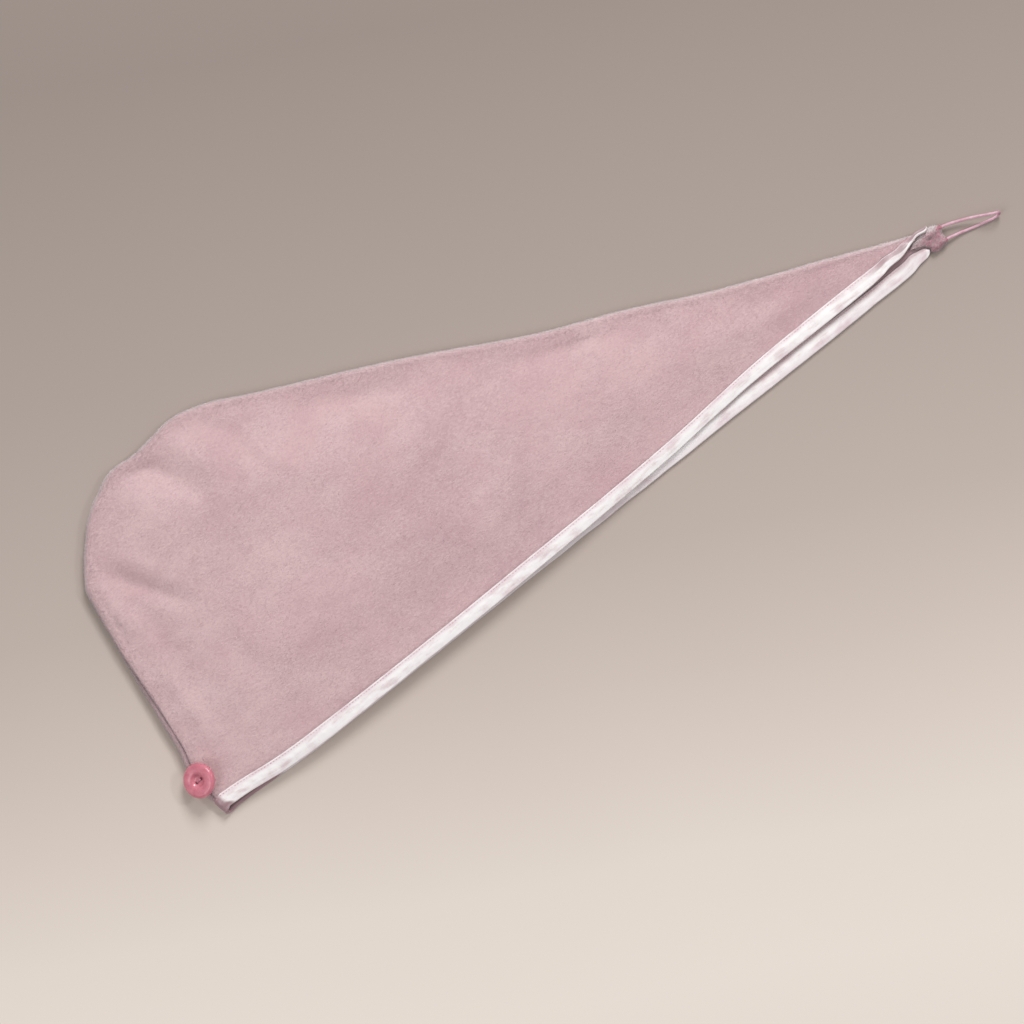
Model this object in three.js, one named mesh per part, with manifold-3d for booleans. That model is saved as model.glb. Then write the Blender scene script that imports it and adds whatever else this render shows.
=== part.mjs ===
// Hair turban towel, lying flat on its back ply. Millimetres, +Z up.
// X runs along the open edge from the nape to the tail, Y from the open edge to the crown.
import * as THREE from "three";
import Module from "manifold-3d";
import { mergeVertices } from "three/addons/utils/BufferGeometryUtils.js";

// Whole towel
const towelLength = 652; // nape corner to the end of the tail
const hoodHeight = 242; // open edge to the top of the crown
const hoodLoft = 18.5; // height of the middle of the upper ply over the surface, at its fullest
const clearance = 0.3; // between pieces that touch

// Terry plies
const plyWall = 2.6;
const hemWall = 1; // ply pressed flat inside the binding
const seamDepth = 5; // how far the rolled seam edge reaches inwards
const seamHeight = 9; // thickness of the two plies at the rolled seam edge
const seamGap = 0.4;
const seamRun = 95; // distance from the seam over which the upper ply rises, in a wide hood
const mouthRun = 90; // distance from the binding over which it rises, in a wide hood
const frontEnd = 622; // where the upper ply ends, in the tail

// Satin binding
const tapeWidth = 11;
const tapeWall = 1;
const tapeCorner = 0.6; // chamfer along its folded edge
const frontTapeEnd = 645;
const backTapeEnd = 637;

// Button and its thread
const buttonDiameter = 25.4;
const buttonThick = 5.6;
const buttonDish = 1.9; // depth of the hollow middle
const buttonPlace = { x: 0.1, y: 27.8 };
const buttonLean = THREE.MathUtils.degToRad(15);
const leanBearing = THREE.MathUtils.degToRad(150.6); // the side that it leans to, from +X
const holeDiameter = 2.4;
const holeSpacing = 5;
const threadDiameter = 1.4;

// Elastic loop
const elasticDiameter = 2;
const elasticSides = 8;
const elasticSteps = 44;

// How finely the cloth is divided
const crownSteps = 46;
const napeSteps = 18;
const rollSteps = 3;
const backMouthSteps = 20;

// Seen outline of the nape: x as shares of the length, y as shares of the height
const napeRows = [
  { x: 0.0, y: -0.004 },
  { x: -0.0045, y: 0.045 },
  { x: -0.0055, y: 0.1 },
  { x: -0.0046, y: 0.17 },
  { x: 0.0, y: 0.215 },
  { x: 0.0046, y: 0.31 },
  { x: 0.0115, y: 0.455 },
  { x: 0.0175, y: 0.58 },
  { x: 0.0275, y: 0.755 },
];

// Seen outline of the crown and the tail, in the same shares
const crownRows = [
  { x: 0.0275, y: 0.755 },
  { x: 0.046, y: 0.826 },
  { x: 0.08, y: 0.921 },
  { x: 0.107, y: 0.963 },
  { x: 0.131, y: 0.988 },
  { x: 0.161, y: 0.983 },
  { x: 0.19, y: 0.992 },
  { x: 0.215, y: 1.0 },
  { x: 0.253, y: 0.975 },
  { x: 0.307, y: 0.905 },
  { x: 0.383, y: 0.81 },
  { x: 0.46, y: 0.711 },
  { x: 0.583, y: 0.537 },
  { x: 0.675, y: 0.43 },
  { x: 0.767, y: 0.31 },
  { x: 0.882, y: 0.182 },
  { x: 0.97, y: 0.081 },
  { x: 0.989, y: 0.07 },
  { x: 1.0, y: 0.05 },
];

// Outer edges of the binding on the upper and the lower ply: x as shares of the length,
// front and back as shares of the height
const mouthRows = [
  { x: 0.0, front: 0.003, back: -0.0075 },
  { x: 0.031, front: -0.002, back: -0.012 },
  { x: 0.077, front: -0.0155, back: -0.019 },
  { x: 0.123, front: -0.0205, back: -0.0245 },
  { x: 0.307, front: -0.0165, back: -0.021 },
  { x: 0.46, front: -0.008, back: -0.0185 },
  { x: 0.613, front: 0.008, back: -0.017 },
  { x: 0.736, front: 0.03, back: -0.015 },
  { x: 0.859, front: 0.0345, back: -0.0135 },
  { x: 0.92, front: 0.042, back: -0.012 },
  { x: 0.951, front: 0.0505, back: -0.0075 },
  { x: 0.977, front: 0.064, back: 0.0 },
  { x: 1.0, front: 0.07, back: 0.0015 },
];

// Heights of the middle of the upper ply's wall at the lip, at the binding's inner edge and over the
// hollow, as shares of the loft; then the seam's thickness and depth and the widths of the tape on the
// upper and the lower ply, as shares of their full sizes
const sectionRows = [
  { x: 0.0, lip: 0.45, hem: 0.47, full: 0.7, seam: 0.93, depth: 1, front: 1, back: 1 },
  { x: 0.092, lip: 0.52, hem: 0.57, full: 0.84, seam: 1, depth: 1, front: 1, back: 1 },
  { x: 0.184, lip: 0.63, hem: 0.68, full: 0.95, seam: 1.04, depth: 1, front: 1, back: 1 },
  { x: 0.307, lip: 0.655, hem: 0.71, full: 1, seam: 1.02, depth: 1, front: 1, back: 1 },
  { x: 0.43, lip: 0.6, hem: 0.655, full: 0.94, seam: 1, depth: 1, front: 1, back: 1 },
  { x: 0.552, lip: 0.445, hem: 0.51, full: 0.8, seam: 0.97, depth: 1, front: 1, back: 1 },
  { x: 0.675, lip: 0.36, hem: 0.41, full: 0.65, seam: 0.93, depth: 0.97, front: 1, back: 1 },
  { x: 0.798, lip: 0.33, hem: 0.37, full: 0.54, seam: 0.88, depth: 0.9, front: 1, back: 1 },
  { x: 0.89, lip: 0.325, hem: 0.35, full: 0.45, seam: 0.82, depth: 0.78, front: 0.95, back: 0.92 },
  { x: 0.954, lip: 0.32, hem: 0.33, full: 0.38, seam: 0.74, depth: 0.7, front: 0.52, back: 0.86 },
  { x: 0.98, lip: 0.315, hem: 0.325, full: 0.37, seam: 0.62, depth: 0.68, front: 0.36, back: 0.62 },
  { x: 1.0, lip: 0.31, hem: 0.32, full: 0.36, seam: 0.58, depth: 0.66, front: 0.2, back: 0.4 },
];

// Where the seam lies on the rolled edge: degrees above its outermost line, by the share of the whole
// sewn edge from the nape corner to the tail
const seamRows = [
  { at: 0.0, angle: 50 },
  { at: 0.03, angle: 70 },
  { at: 0.075, angle: 75 },
  { at: 0.095, angle: 66 },
  { at: 0.12, angle: 48 },
  { at: 0.15, angle: 14 },
  { at: 0.19, angle: 0 },
  { at: 1.0, angle: 0 },
];

// Folds of the upper ply: ends in shares of the length and the height, rise in shares of the loft
// (negative in a valley) and half width in shares of the height
const foldRows = [
  { name: "crown dent", x0: 0.149, y0: 0.985, x1: 0.194, y1: 0.785, rise: -0.22, wide: 0.037 },
  { name: "ridge behind the dent", x0: 0.197, y0: 0.975, x1: 0.218, y1: 0.826, rise: 0.11, wide: 0.037 },
  { name: "ridge before the dent", x0: 0.115, y0: 0.94, x1: 0.136, y1: 0.826, rise: 0.07, wide: 0.041 },
  { name: "nape valley", x0: 0.055, y0: 0.76, x1: 0.11, y1: 0.545, rise: -0.18, wide: 0.029 },
  { name: "nape ridge, high", x0: 0.041, y0: 0.68, x1: 0.047, y1: 0.54, rise: 0.12, wide: 0.033 },
  { name: "nape ridge, low", x0: 0.043, y0: 0.48, x1: 0.035, y1: 0.22, rise: 0.07, wide: 0.033 },
  { name: "ridge over the nape valley", x0: 0.077, y0: 0.79, x1: 0.1, y1: 0.7, rise: 0.08, wide: 0.029 },
  { name: "crown valley", x0: 0.242, y0: 0.94, x1: 0.272, y1: 0.745, rise: -0.1, wide: 0.029 },
  { name: "crown ridge", x0: 0.256, y0: 0.85, x1: 0.292, y1: 0.65, rise: 0.1, wide: 0.025 },
  { name: "valley along the crown", x0: 0.325, y0: 0.79, x1: 0.455, y1: 0.62, rise: -0.15, wide: 0.037 },
  { name: "valley along the tail", x0: 0.518, y0: 0.52, x1: 0.652, y1: 0.395, rise: -0.14, wide: 0.033 },
  { name: "hollow in the tail", x0: 0.767, y0: 0.215, x1: 0.84, y1: 0.145, rise: -0.07, wide: 0.033 },
  { name: "hollow in the hood", x0: 0.115, y0: 0.4, x1: 0.13, y1: 0.17, rise: -0.08, wide: 0.066 },
];

// Route of the elastic: from the end of the back ply, out, round its turn and back
const elasticRoute = [
  [639.5, 11.6, 3.95],
  [645, 11.9, 3.95],
  [650.5, 12.1, 3.95],
  [655, 11.1, 3.9],
  [660, 9.5, 3.9],
  [666, 7.1, 4.2],
  [672, 4.5, 5.0],
  [678, 1.5, 6.2],
  [683, -1.2, 7.3],
  [687, -3.3, 8.1],
  [690.2, -4.8, 7.6],
  [691.9, -5.8, 5.6],
  [691.7, -6.5, 3.2],
  [689.6, -6.9, 1.5],
  [686, -6.5, 1.05],
  [681, -5.3, 1.05],
  [675, -3.8, 1.05],
  [668, -1.9, 1.2],
  [662, -0.1, 1.9],
  [657, 1.1, 3.0],
  [653, 2.0, 3.75],
  [649, 2.4, 3.95],
  [644, 2.6, 3.95],
  [639.5, 2.7, 3.95],
];

const colours = {
  terry: { color: 0xcfb0b4, roughness: 0.95, metalness: 0 },
  satin: { color: 0xe6dade, roughness: 0.4, metalness: 0 },
  button: { color: 0xd97d8c, roughness: 0.25, metalness: 0 },
  thread: { color: 0xc96a7c, roughness: 0.7, metalness: 0 },
  elastic: { color: 0xd9a0b8, roughness: 0.7, metalness: 0 },
};

const up = new THREE.Vector3(0, 0, 1);
const down = new THREE.Vector3(0, 0, -1);

function smooth(t) {
  const s = THREE.MathUtils.clamp(t, 0, 1);
  return s * s * (3 - 2 * s);
}

// Value of a table's column at a place, on smooth curves through the rows
function along(rows, column, at, key = "x") {
  const last = rows.length - 2;
  let i = rows.findIndex((row, k) => k > 0 && row[key] >= at) - 1;
  if (i < 0) i = at <= rows[0][key] ? 0 : last;
  const slope = (k) => {
    const low = rows[Math.max(k - 1, 0)];
    const high = rows[Math.min(k + 1, last + 1)];
    return (high[column] - low[column]) / (high[key] - low[key]);
  };
  const span = rows[i + 1][key] - rows[i][key];
  const t = THREE.MathUtils.clamp((at - rows[i][key]) / span, 0, 1);
  const rise = rows[i + 1][column] - rows[i][column];
  const a = slope(i) * span - rise;
  const b = rise - slope(i + 1) * span;
  return rows[i][column] + t * rise + t * (1 - t) * ((1 - t) * a + t * b);
}

const section = (column, x) => along(sectionRows, column, x / towelLength);
const seamHeightAt = (x) => seamHeight * section("seam", x);
const seamDepthAt = (x) => seamDepth * section("depth", x);
const lipInset = tapeWall + clearance;
const hemStep = 0.6; // run over which the ply thins before the tape
const lipY = (side, x) => hoodHeight * along(mouthRows, side, x / towelLength) + lipInset;
const hemRunAt = (side, x) => hemStep + tapeWidth * section(side, x);

// The sewn outline: curves through the nape and crown rows
function outline(rows) {
  const points = rows.map((row) => new THREE.Vector3(row.x * towelLength, row.y * hoodHeight, 0));
  const curve = new THREE.CatmullRomCurve3(points, false, "centripetal");
  curve.arcLengthDivisions = 600;
  return curve;
}
const nape = outline(napeRows);
const crown = outline(crownRows);
const sewnLength = nape.getLength() + crown.getLength();

// A place on the sewn outline, the direction inwards from it and its share of the sewn length
function sewnPlace(curve, t) {
  const place = curve.getPointAt(t);
  const tangent = curve.getTangentAt(t);
  const inwards = new THREE.Vector3(tangent.y, -tangent.x, 0).normalize();
  const before = curve === nape ? 0 : nape.getLength();
  return { place, inwards, share: (before + t * curve.getLength()) / sewnLength };
}

// Share of a curve's length at which it passes a given x or y
function shareAt(curve, axis, value) {
  let low = 0;
  let high = 1;
  for (let k = 0; k < 40; k += 1) {
    const middle = (low + high) / 2;
    if (curve.getPointAt(middle)[axis] < value) low = middle;
    else high = middle;
  }
  return low;
}

// Stations along the sewn edge: up the nape to where the crown starts, then along the crown, closer
// together over the hood than in the tail
const crownEndShare = shareAt(crown, "x", frontEnd);
const hoodCrowding = 0.68;
const cornerCrowding = 1.4;
const cornerHem = (lipY("front", 0) + lipY("back", 0)) / 2 + hemRunAt("front", 0);
const napeShare = shareAt(nape, "y", cornerHem);
const napeStations = [];
for (let j = 0; j <= napeSteps; j += 1) {
  napeStations.push(sewnPlace(nape, napeShare + ((1 - napeShare) * j) / napeSteps));
}
const crownStations = [napeStations.at(-1)];
for (let i = 1; i <= crownSteps; i += 1) {
  const t = i / crownSteps;
  crownStations.push(sewnPlace(crown, crownEndShare * t * (hoodCrowding + (1 - hoodCrowding) * t)));
}
const frontSewn = [...napeStations, ...crownStations.slice(1)];
const tailStations = [0.35, 0.65, 1].map((t) => sewnPlace(crown, THREE.MathUtils.lerp(crownEndShare, 1, t)));
const backSewn = [...frontSewn, ...tailStations];

// Middle of the ply's wall on the rolled seam edge, at an angle above its outermost line
function rollNode(station, degrees) {
  const angle = THREE.MathUtils.degToRad(degrees);
  const depth = seamDepthAt(station.place.x);
  const half = seamHeightAt(station.place.x) / 2;
  const reach = depth - plyWall / 2;
  const lift = half - plyWall / 2;
  const middle = station.place.clone().addScaledVector(station.inwards, depth - reach * Math.cos(angle));
  middle.z = half + lift * Math.sin(angle);
  const normal = station.inwards.clone().multiplyScalar(-Math.cos(angle) / reach);
  normal.z = Math.sin(angle) / lift;
  return { middle, normal: normal.normalize(), wall: plyWall };
}

function seamAngle(station) {
  return along(seamRows, "angle", station.share, "at");
}

// Half of the seam's gap, as an angle on the roll
function seamGapAngle(station) {
  const radius = (seamDepthAt(station.place.x) + seamHeightAt(station.place.x) / 2 - plyWall) / 2;
  return THREE.MathUtils.radToDeg(seamGap / 2 / radius);
}

// Shortest distance from a place to a chain of points
function distanceTo(chain, x, y) {
  let best = Infinity;
  for (let k = 1; k < chain.length; k += 1) {
    const a = chain[k - 1];
    const b = chain[k];
    const dx = b.x - a.x;
    const dy = b.y - a.y;
    const t = THREE.MathUtils.clamp(((x - a.x) * dx + (y - a.y) * dy) / (dx * dx + dy * dy), 0, 1);
    best = Math.min(best, Math.hypot(x - a.x - t * dx, y - a.y - t * dy));
  }
  return best;
}

const rollLine = frontSewn.map((station) => rollNode(station, 90).middle);

// Room between the seam and the binding at a given x
function roomAt(x) {
  const top = crown.getPointAt(shareAt(crown, "x", Math.max(x, crown.getPointAt(0).x)));
  return Math.max(top.y - seamDepthAt(x) - lipY("front", x) - hemRunAt("front", x), 1);
}

// What the folds add to the height of the upper ply
function foldRise(x, y) {
  let rise = 0;
  for (const fold of foldRows) {
    const x0 = fold.x0 * towelLength;
    const y0 = fold.y0 * hoodHeight;
    const dx = fold.x1 * towelLength - x0;
    const dy = fold.y1 * hoodHeight - y0;
    const t = THREE.MathUtils.clamp(((x - x0) * dx + (y - y0) * dy) / (dx * dx + dy * dy), 0, 1);
    const away = Math.hypot(x - x0 - t * dx, y - y0 - t * dy) / (fold.wide * hoodHeight);
    rise += fold.rise * hoodLoft * Math.exp(-away * away);
  }
  return rise;
}

// A run of the rise that shortens as the room for it does
const within = (run, room) => 1 / (1 / run + 1 / room);

// Height of the middle of the upper ply's wall
const foldFade = 9; // folds die out over this distance from the seam and the binding
function plyHeight(x, y) {
  const fromSeam = distanceTo(rollLine, x, y);
  const fromHem = Math.max(y - lipY("front", x) - hemRunAt("front", x), 0);
  const edge = seamHeightAt(x) - plyWall / 2;
  const room = roomAt(x);
  const hem = section("hem", x) * hoodLoft;
  const full = section("full", x) * hoodLoft;
  const open = hem + (full - hem) * smooth(fromHem / within(mouthRun, room));
  const folds = foldRise(x, y) * smooth(fromSeam / foldFade) * smooth(fromHem / foldFade);
  return edge + (open - edge) * smooth(fromSeam / within(seamRun, room)) + folds;
}

// Height of the middle of the lip
function lipHeight(x) {
  const fromSeam = distanceTo(rollLine, x, lipY("front", x) + hemRunAt("front", x));
  const corner = seamHeightAt(0) - plyWall / 2;
  return corner + (section("lip", x) * hoodLoft - corner) * smooth(fromSeam / seamRun);
}

// Gives each station the directions out of the mouth and off the ply, and the line where the ply thins
function aimStations(stations) {
  stations.forEach((station, k) => {
    const before = stations[Math.max(k - 1, 0)].lip;
    const after = stations[Math.min(k + 1, stations.length - 1)].lip;
    const tangent = station.lip.clone().sub(before).normalize();
    tangent.add(after.clone().sub(station.lip).normalize()).normalize();
    station.out = station.lip.clone().sub(station.hem).normalize();
    station.off = new THREE.Vector3().crossVectors(tangent, station.out).normalize();
    station.step = station.lip.clone().addScaledVector(station.out, hemStep - station.run);
  });
}

// The open edge as one run of stations: along the upper ply from the tail, round the nape corner and
// along the lower ply. Each has the binding's inner line, the lip, and the directions out of the mouth
// and off the ply.
const backLipHeight = hemWall / 2 + clearance + tapeWall;
const cornerNape = napeStations[0];

const cornerX = rollLine[0].x;
const cornerShift = nape.getPointAt(0).x - cornerNape.place.x;

// The nape edge slants into the corner, and the lip follows it with a shift that dies out along the mouth
const shiftAt = (x) => cornerShift * (1 - smooth((x - cornerX) / seamRun));

function frontLip(x) {
  const y = lipY("front", x);
  const run = hemRunAt("front", x);
  const hem = new THREE.Vector3(x, y + run, 0);
  hem.z = plyHeight(x, y + run);
  return { hem, lip: new THREE.Vector3(x + shiftAt(x), y, lipHeight(x)), run };
}

function backLip(x) {
  const y = lipY("back", x);
  const run = hemRunAt("back", x);
  const hem = new THREE.Vector3(x, y + run, backLipHeight);
  return { hem, lip: new THREE.Vector3(x + shiftAt(x), y, backLipHeight), run };
}

const frontX = [];
for (let i = 0; i <= crownSteps; i += 1) {
  const t = i / crownSteps;
  const x = THREE.MathUtils.lerp(cornerX, frontEnd, t * (hoodCrowding + (1 - hoodCrowding) * t));
  frontX.push(x);
}
const backEnd = crown.getPointAt(1).x - 1;
const backX = [];
for (let i = 0; i <= backMouthSteps; i += 1) {
  backX.push(THREE.MathUtils.lerp(cornerX, backTapeEnd, (i / backMouthSteps) ** cornerCrowding));
}
backX.push(backEnd);
const ribbonX = [0.4, 0.75, 1].map((t) => THREE.MathUtils.lerp(frontEnd, frontTapeEnd, t));

// Corner stations on the roll, from one angle to another
const frontCornerEdge = frontLip(cornerX).lip;
const backCornerEdge = backLip(cornerX).lip;
function cornerLip(degrees) {
  const { middle } = rollNode(cornerNape, degrees);
  const turn = (90 - degrees) / 180;
  const lip = middle.clone();
  lip.x += cornerShift;
  lip.y = THREE.MathUtils.lerp(frontCornerEdge.y, backCornerEdge.y, turn);
  lip.z = THREE.MathUtils.lerp(backCornerEdge.z, frontCornerEdge.z, (1 + Math.sin(THREE.MathUtils.degToRad(degrees))) / 2);
  const hem = middle.clone().setZ(lip.z);
  return { hem, lip, run: lip.distanceTo(hem) };
}
const cornerSeam = seamAngle(cornerNape);
const cornerGap = seamGapAngle(cornerNape);
const frontAngles = [];
const backAngles = [];
for (let m = 0; m <= rollSteps; m += 1) {
  frontAngles.push(THREE.MathUtils.lerp(90, cornerSeam + cornerGap, m / rollSteps));
}
for (let m = 0; m <= rollSteps + 1; m += 1) {
  backAngles.push(THREE.MathUtils.lerp(-90, cornerSeam - cornerGap, m / (rollSteps + 1)));
}
const mouth = [
  ...ribbonX.map(frontLip).reverse(),
  ...frontX.slice(1).map(frontLip).reverse(),
  ...frontAngles.map(cornerLip),
  ...backAngles.reverse().map(cornerLip),
  ...backX.slice(1).map(backLip),
];
aimStations(mouth);
const seamPlace = ribbonX.length + frontX.length - 1 + frontAngles.length;
const frontMouth = mouth.slice(ribbonX.length, seamPlace).reverse();
const backMouth = mouth.slice(seamPlace);

// A cloth wall as a closed body: the nodes are the middle of the wall, and the faces look outwards
function clothWall(nodes, faces) {
  const corners = faces.flatMap((face) => {
    const [a, b, c, d] = face;
    return face.length === 4 ? [[a, b, c], [a, c, d]] : [[a, b, c]];
  });
  const sums = nodes.map(() => new THREE.Vector3());
  for (const [a, b, c] of corners) {
    const ab = nodes[b].middle.clone().sub(nodes[a].middle);
    const ac = nodes[c].middle.clone().sub(nodes[a].middle);
    const normal = ab.cross(ac);
    for (const k of [a, b, c]) sums[k].add(normal);
  }
  const positions = [];
  for (const side of [0.5, -0.5]) {
    nodes.forEach((node, k) => {
      const normal = node.normal ?? sums[k].clone().normalize();
      const point = node.middle.clone().addScaledVector(normal, side * node.wall);
      positions.push(point.x, point.y, point.z);
    });
  }
  const edges = new Set(corners.flatMap(([a, b, c]) => [`${a},${b}`, `${b},${c}`, `${c},${a}`]));
  const inner = nodes.length;
  const index = [];
  for (const [a, b, c] of corners) {
    index.push(a, b, c, c + inner, b + inner, a + inner);
    for (const [from, to] of [[a, b], [b, c], [c, a]]) {
      if (!edges.has(`${to},${from}`)) {
        index.push(to, from, from + inner, to, from + inner, to + inner);
      }
    }
  }
  const geometry = new THREE.BufferGeometry();
  geometry.setAttribute("position", new THREE.Float32BufferAttribute(positions, 3));
  geometry.setIndex(index);
  return geometry;
}

function piece(name, geometry, colour) {
  geometry.computeVertexNormals();
  const mesh = new THREE.Mesh(geometry, new THREE.MeshStandardMaterial(colours[colour]));
  mesh.name = name;
  return mesh;
}

// Adds strips of nodes beside a run of nodes, and returns each strip's node numbers
function addStrip(nodes, faces, first, rows, outwards) {
  let before = first;
  for (const row of rows) {
    const numbers = row.map((node) => nodes.push(node) - 1);
    for (let k = 1; k < numbers.length; k += 1) {
      const quad = [before[k - 1], before[k], numbers[k], numbers[k - 1]];
      faces.push(outwards ? quad : quad.reverse());
    }
    before = numbers;
  }
  return before;
}

function hemRows(stations) {
  return ["step", "lip"].map((line) =>
    stations.map((station) => ({ middle: station[line], normal: station.off, wall: hemWall })),
  );
}

// The upper ply: a patch between the rolled seam edge and the binding, the roll, and the pressed hem
function frontPanel() {
  const nodes = [];
  const faces = [];
  const left = napeStations.map((station) => rollNode(station, 90));
  const top = crownStations.map((station) => rollNode(station, 90));
  const bottom = frontX.map((x) => frontLip(x).hem);
  const right0 = bottom.at(-1);
  const right1 = top.at(-1).middle;
  const corner00 = left[0].middle;
  const corner01 = left.at(-1).middle;
  const grid = [];
  for (let j = 0; j <= napeSteps; j += 1) {
    const v = j / napeSteps;
    const row = [];
    for (let i = 0; i <= crownSteps; i += 1) {
      const t = i / crownSteps;
      const u = t * (hoodCrowding + (1 - hoodCrowding) * t);
      let node;
      if (i === 0) node = left[j];
      else if (j === napeSteps) node = top[i];
      else {
        const sideways = (axis) =>
          (1 - u) * left[j].middle[axis] + u * THREE.MathUtils.lerp(right0[axis], right1[axis], v);
        const upwards = (axis) => (1 - v) * bottom[i][axis] + v * top[i].middle[axis];
        const shared = (axis) =>
          (1 - u) * THREE.MathUtils.lerp(corner00[axis], corner01[axis], v) +
          u * THREE.MathUtils.lerp(right0[axis], right1[axis], v);
        const place = (axis) => sideways(axis) + upwards(axis) - shared(axis);
        const middle = new THREE.Vector3(place("x"), place("y"), 0);
        middle.z = plyHeight(middle.x, middle.y);
        node = { middle, wall: plyWall };
      }
      row.push(nodes.push(node) - 1);
    }
    grid.push(row);
  }
  for (let j = 0; j < napeSteps; j += 1) {
    for (let i = 0; i < crownSteps; i += 1) {
      faces.push([grid[j][i], grid[j][i + 1], grid[j + 1][i + 1], grid[j + 1][i]]);
    }
  }
  const sewn = [...grid.map((row) => row[0]), ...grid.at(-1).slice(1)];
  const rolls = [];
  for (let m = 1; m <= rollSteps; m += 1) {
    rolls.push(
      frontSewn.map((station) =>
        rollNode(station, THREE.MathUtils.lerp(90, seamAngle(station) + seamGapAngle(station), m / rollSteps)),
      ),
    );
  }
  const cornerNumbers = [sewn[0]];
  let before = sewn;
  for (const roll of rolls) {
    before = addStrip(nodes, faces, before, [roll], true);
    cornerNumbers.unshift(before[0]);
  }
  const hemFirst = [...cornerNumbers, ...grid[0].slice(1)];
  addStrip(nodes, faces, hemFirst, hemRows(frontMouth), false);
  return piece("front_panel", clothWall(nodes, faces), "terry");
}

// The lower ply: flat where it lies, rolled up round its sewn edge to the seam
function backPanel() {
  const nodes = [];
  const faces = [];
  const flatNode = (middle) => ({ middle: new THREE.Vector3(middle.x, middle.y, plyWall / 2), normal: down, wall: plyWall });
  const flatRoll = backSewn.map((station) => flatNode(rollNode(station, -90).middle));
  const sewn = flatRoll.map((node) => nodes.push(node) - 1);
  const hem = [sewn[0], ...backX.slice(1).map((x) => nodes.push(flatNode(backLip(x).hem)) - 1)];
  const boundary = [...hem, ...sewn.slice(1).reverse()];
  const flat = boundary.map((k) => new THREE.Vector2(nodes[k].middle.x, nodes[k].middle.y));
  for (const [a, b, c] of THREE.ShapeUtils.triangulateShape(flat, [])) {
    faces.push([boundary[c], boundary[b], boundary[a]]);
  }
  const cornerNumbers = [sewn[0]];
  let before = sewn;
  const steps = rollSteps + 1;
  for (let m = 1; m <= steps; m += 1) {
    const roll = backSewn.map((station) =>
      rollNode(station, THREE.MathUtils.lerp(-90, seamAngle(station) - seamGapAngle(station), m / steps)),
    );
    before = addStrip(nodes, faces, before, [roll], false);
    cornerNumbers.unshift(before[0]);
  }
  const hemFirst = [...cornerNumbers, ...hem.slice(1)];
  addStrip(nodes, faces, hemFirst, hemRows(backMouth), true);
  return piece("back_panel", clothWall(nodes, faces), "terry");
}

// The satin tape: a U-shaped section swept round the whole open edge
function satinBinding() {
  const stations = mouth.slice(0, -1);
  const half = hemWall / 2 + clearance;
  const outside = half + tapeWall;
  const fold = clearance + tapeWall;
  const positions = [];
  const index = [];
  let ring = [];
  stations.forEach((station) => {
    const leg = -(station.run - hemStep - clearance);
    ring = [
      [leg, outside],
      [fold - tapeCorner, outside],
      [fold, outside - tapeCorner],
      [fold, tapeCorner - outside],
      [fold - tapeCorner, -outside],
      [leg, -outside],
      [leg, -half],
      [clearance, -half],
      [clearance, half],
      [leg, half],
    ];
    for (const [out, off] of ring) {
      const point = station.lip.clone().addScaledVector(station.out, out).addScaledVector(station.off, off);
      positions.push(point.x, point.y, point.z);
    }
  });
  const sides = ring.length;
  for (let k = 1; k < stations.length; k += 1) {
    for (let s = 0; s < sides; s += 1) {
      const a = (k - 1) * sides + s;
      const b = (k - 1) * sides + ((s + 1) % sides);
      index.push(a, a + sides, b, b, a + sides, b + sides);
    }
  }
  const shape = ring.map(([out, off]) => new THREE.Vector2(out, off));
  const lastRing = (stations.length - 1) * sides;
  for (const [a, b, c] of THREE.ShapeUtils.triangulateShape(shape, [])) {
    index.push(c, b, a, lastRing + a, lastRing + b, lastRing + c);
  }
  const geometry = new THREE.BufferGeometry();
  geometry.setAttribute("position", new THREE.Float32BufferAttribute(positions, 3));
  geometry.setIndex(index);
  return piece("satin_binding", geometry, "satin");
}

const wasm = await Module();
wasm.setup();

function toSolid(geometry) {
  const bare = geometry.clone();
  bare.deleteAttribute("normal");
  bare.deleteAttribute("uv");
  const merged = mergeVertices(bare, 1e-4);
  return new wasm.Manifold(
    new wasm.Mesh({
      numProp: 3,
      vertProperties: new Float32Array(merged.attributes.position.array),
      triVerts: new Uint32Array(merged.index.array),
    }),
  );
}

function fromSolid(solid) {
  const mesh = solid.getMesh();
  const geometry = new THREE.BufferGeometry();
  geometry.setAttribute("position", new THREE.BufferAttribute(new Float32Array(mesh.vertProperties), 3));
  geometry.setIndex(new THREE.BufferAttribute(new Uint32Array(mesh.triVerts), 1));
  return geometry;
}

// The button: a thick ring rounded over its rim round a smooth hollow, with two holes
const buttonSides = 36;
function buttonGeometry() {
  const radius = buttonDiameter / 2;
  const half = buttonThick / 2;
  const rim = [];
  for (let k = 0; k <= 6; k += 1) {
    const angle = -Math.PI / 2 + (Math.PI * k) / 6;
    rim.push(new THREE.Vector2(radius - half + half * Math.cos(angle), half + half * Math.sin(angle)));
  }
  const profile = [
    new THREE.Vector2(0, 0),
    ...rim,
    new THREE.Vector2(radius * 0.52, buttonThick * 0.93),
    new THREE.Vector2(radius * 0.34, buttonThick - buttonDish * 0.62),
    new THREE.Vector2(radius * 0.2, buttonThick - buttonDish * 0.95),
    new THREE.Vector2(0, buttonThick - buttonDish),
  ];
  const body = new THREE.LatheGeometry(profile, buttonSides);
  body.rotateX(Math.PI / 2);
  let solid = toSolid(body);
  for (const side of [-1, 1]) {
    const drill = new THREE.CylinderGeometry(holeDiameter / 2, holeDiameter / 2, buttonThick * 3, 12);
    drill.rotateX(Math.PI / 2);
    drill.translate((side * holeSpacing) / 2, 0, 0);
    solid = solid.subtract(toSolid(drill));
  }
  return fromSolid(solid);
}

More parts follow.
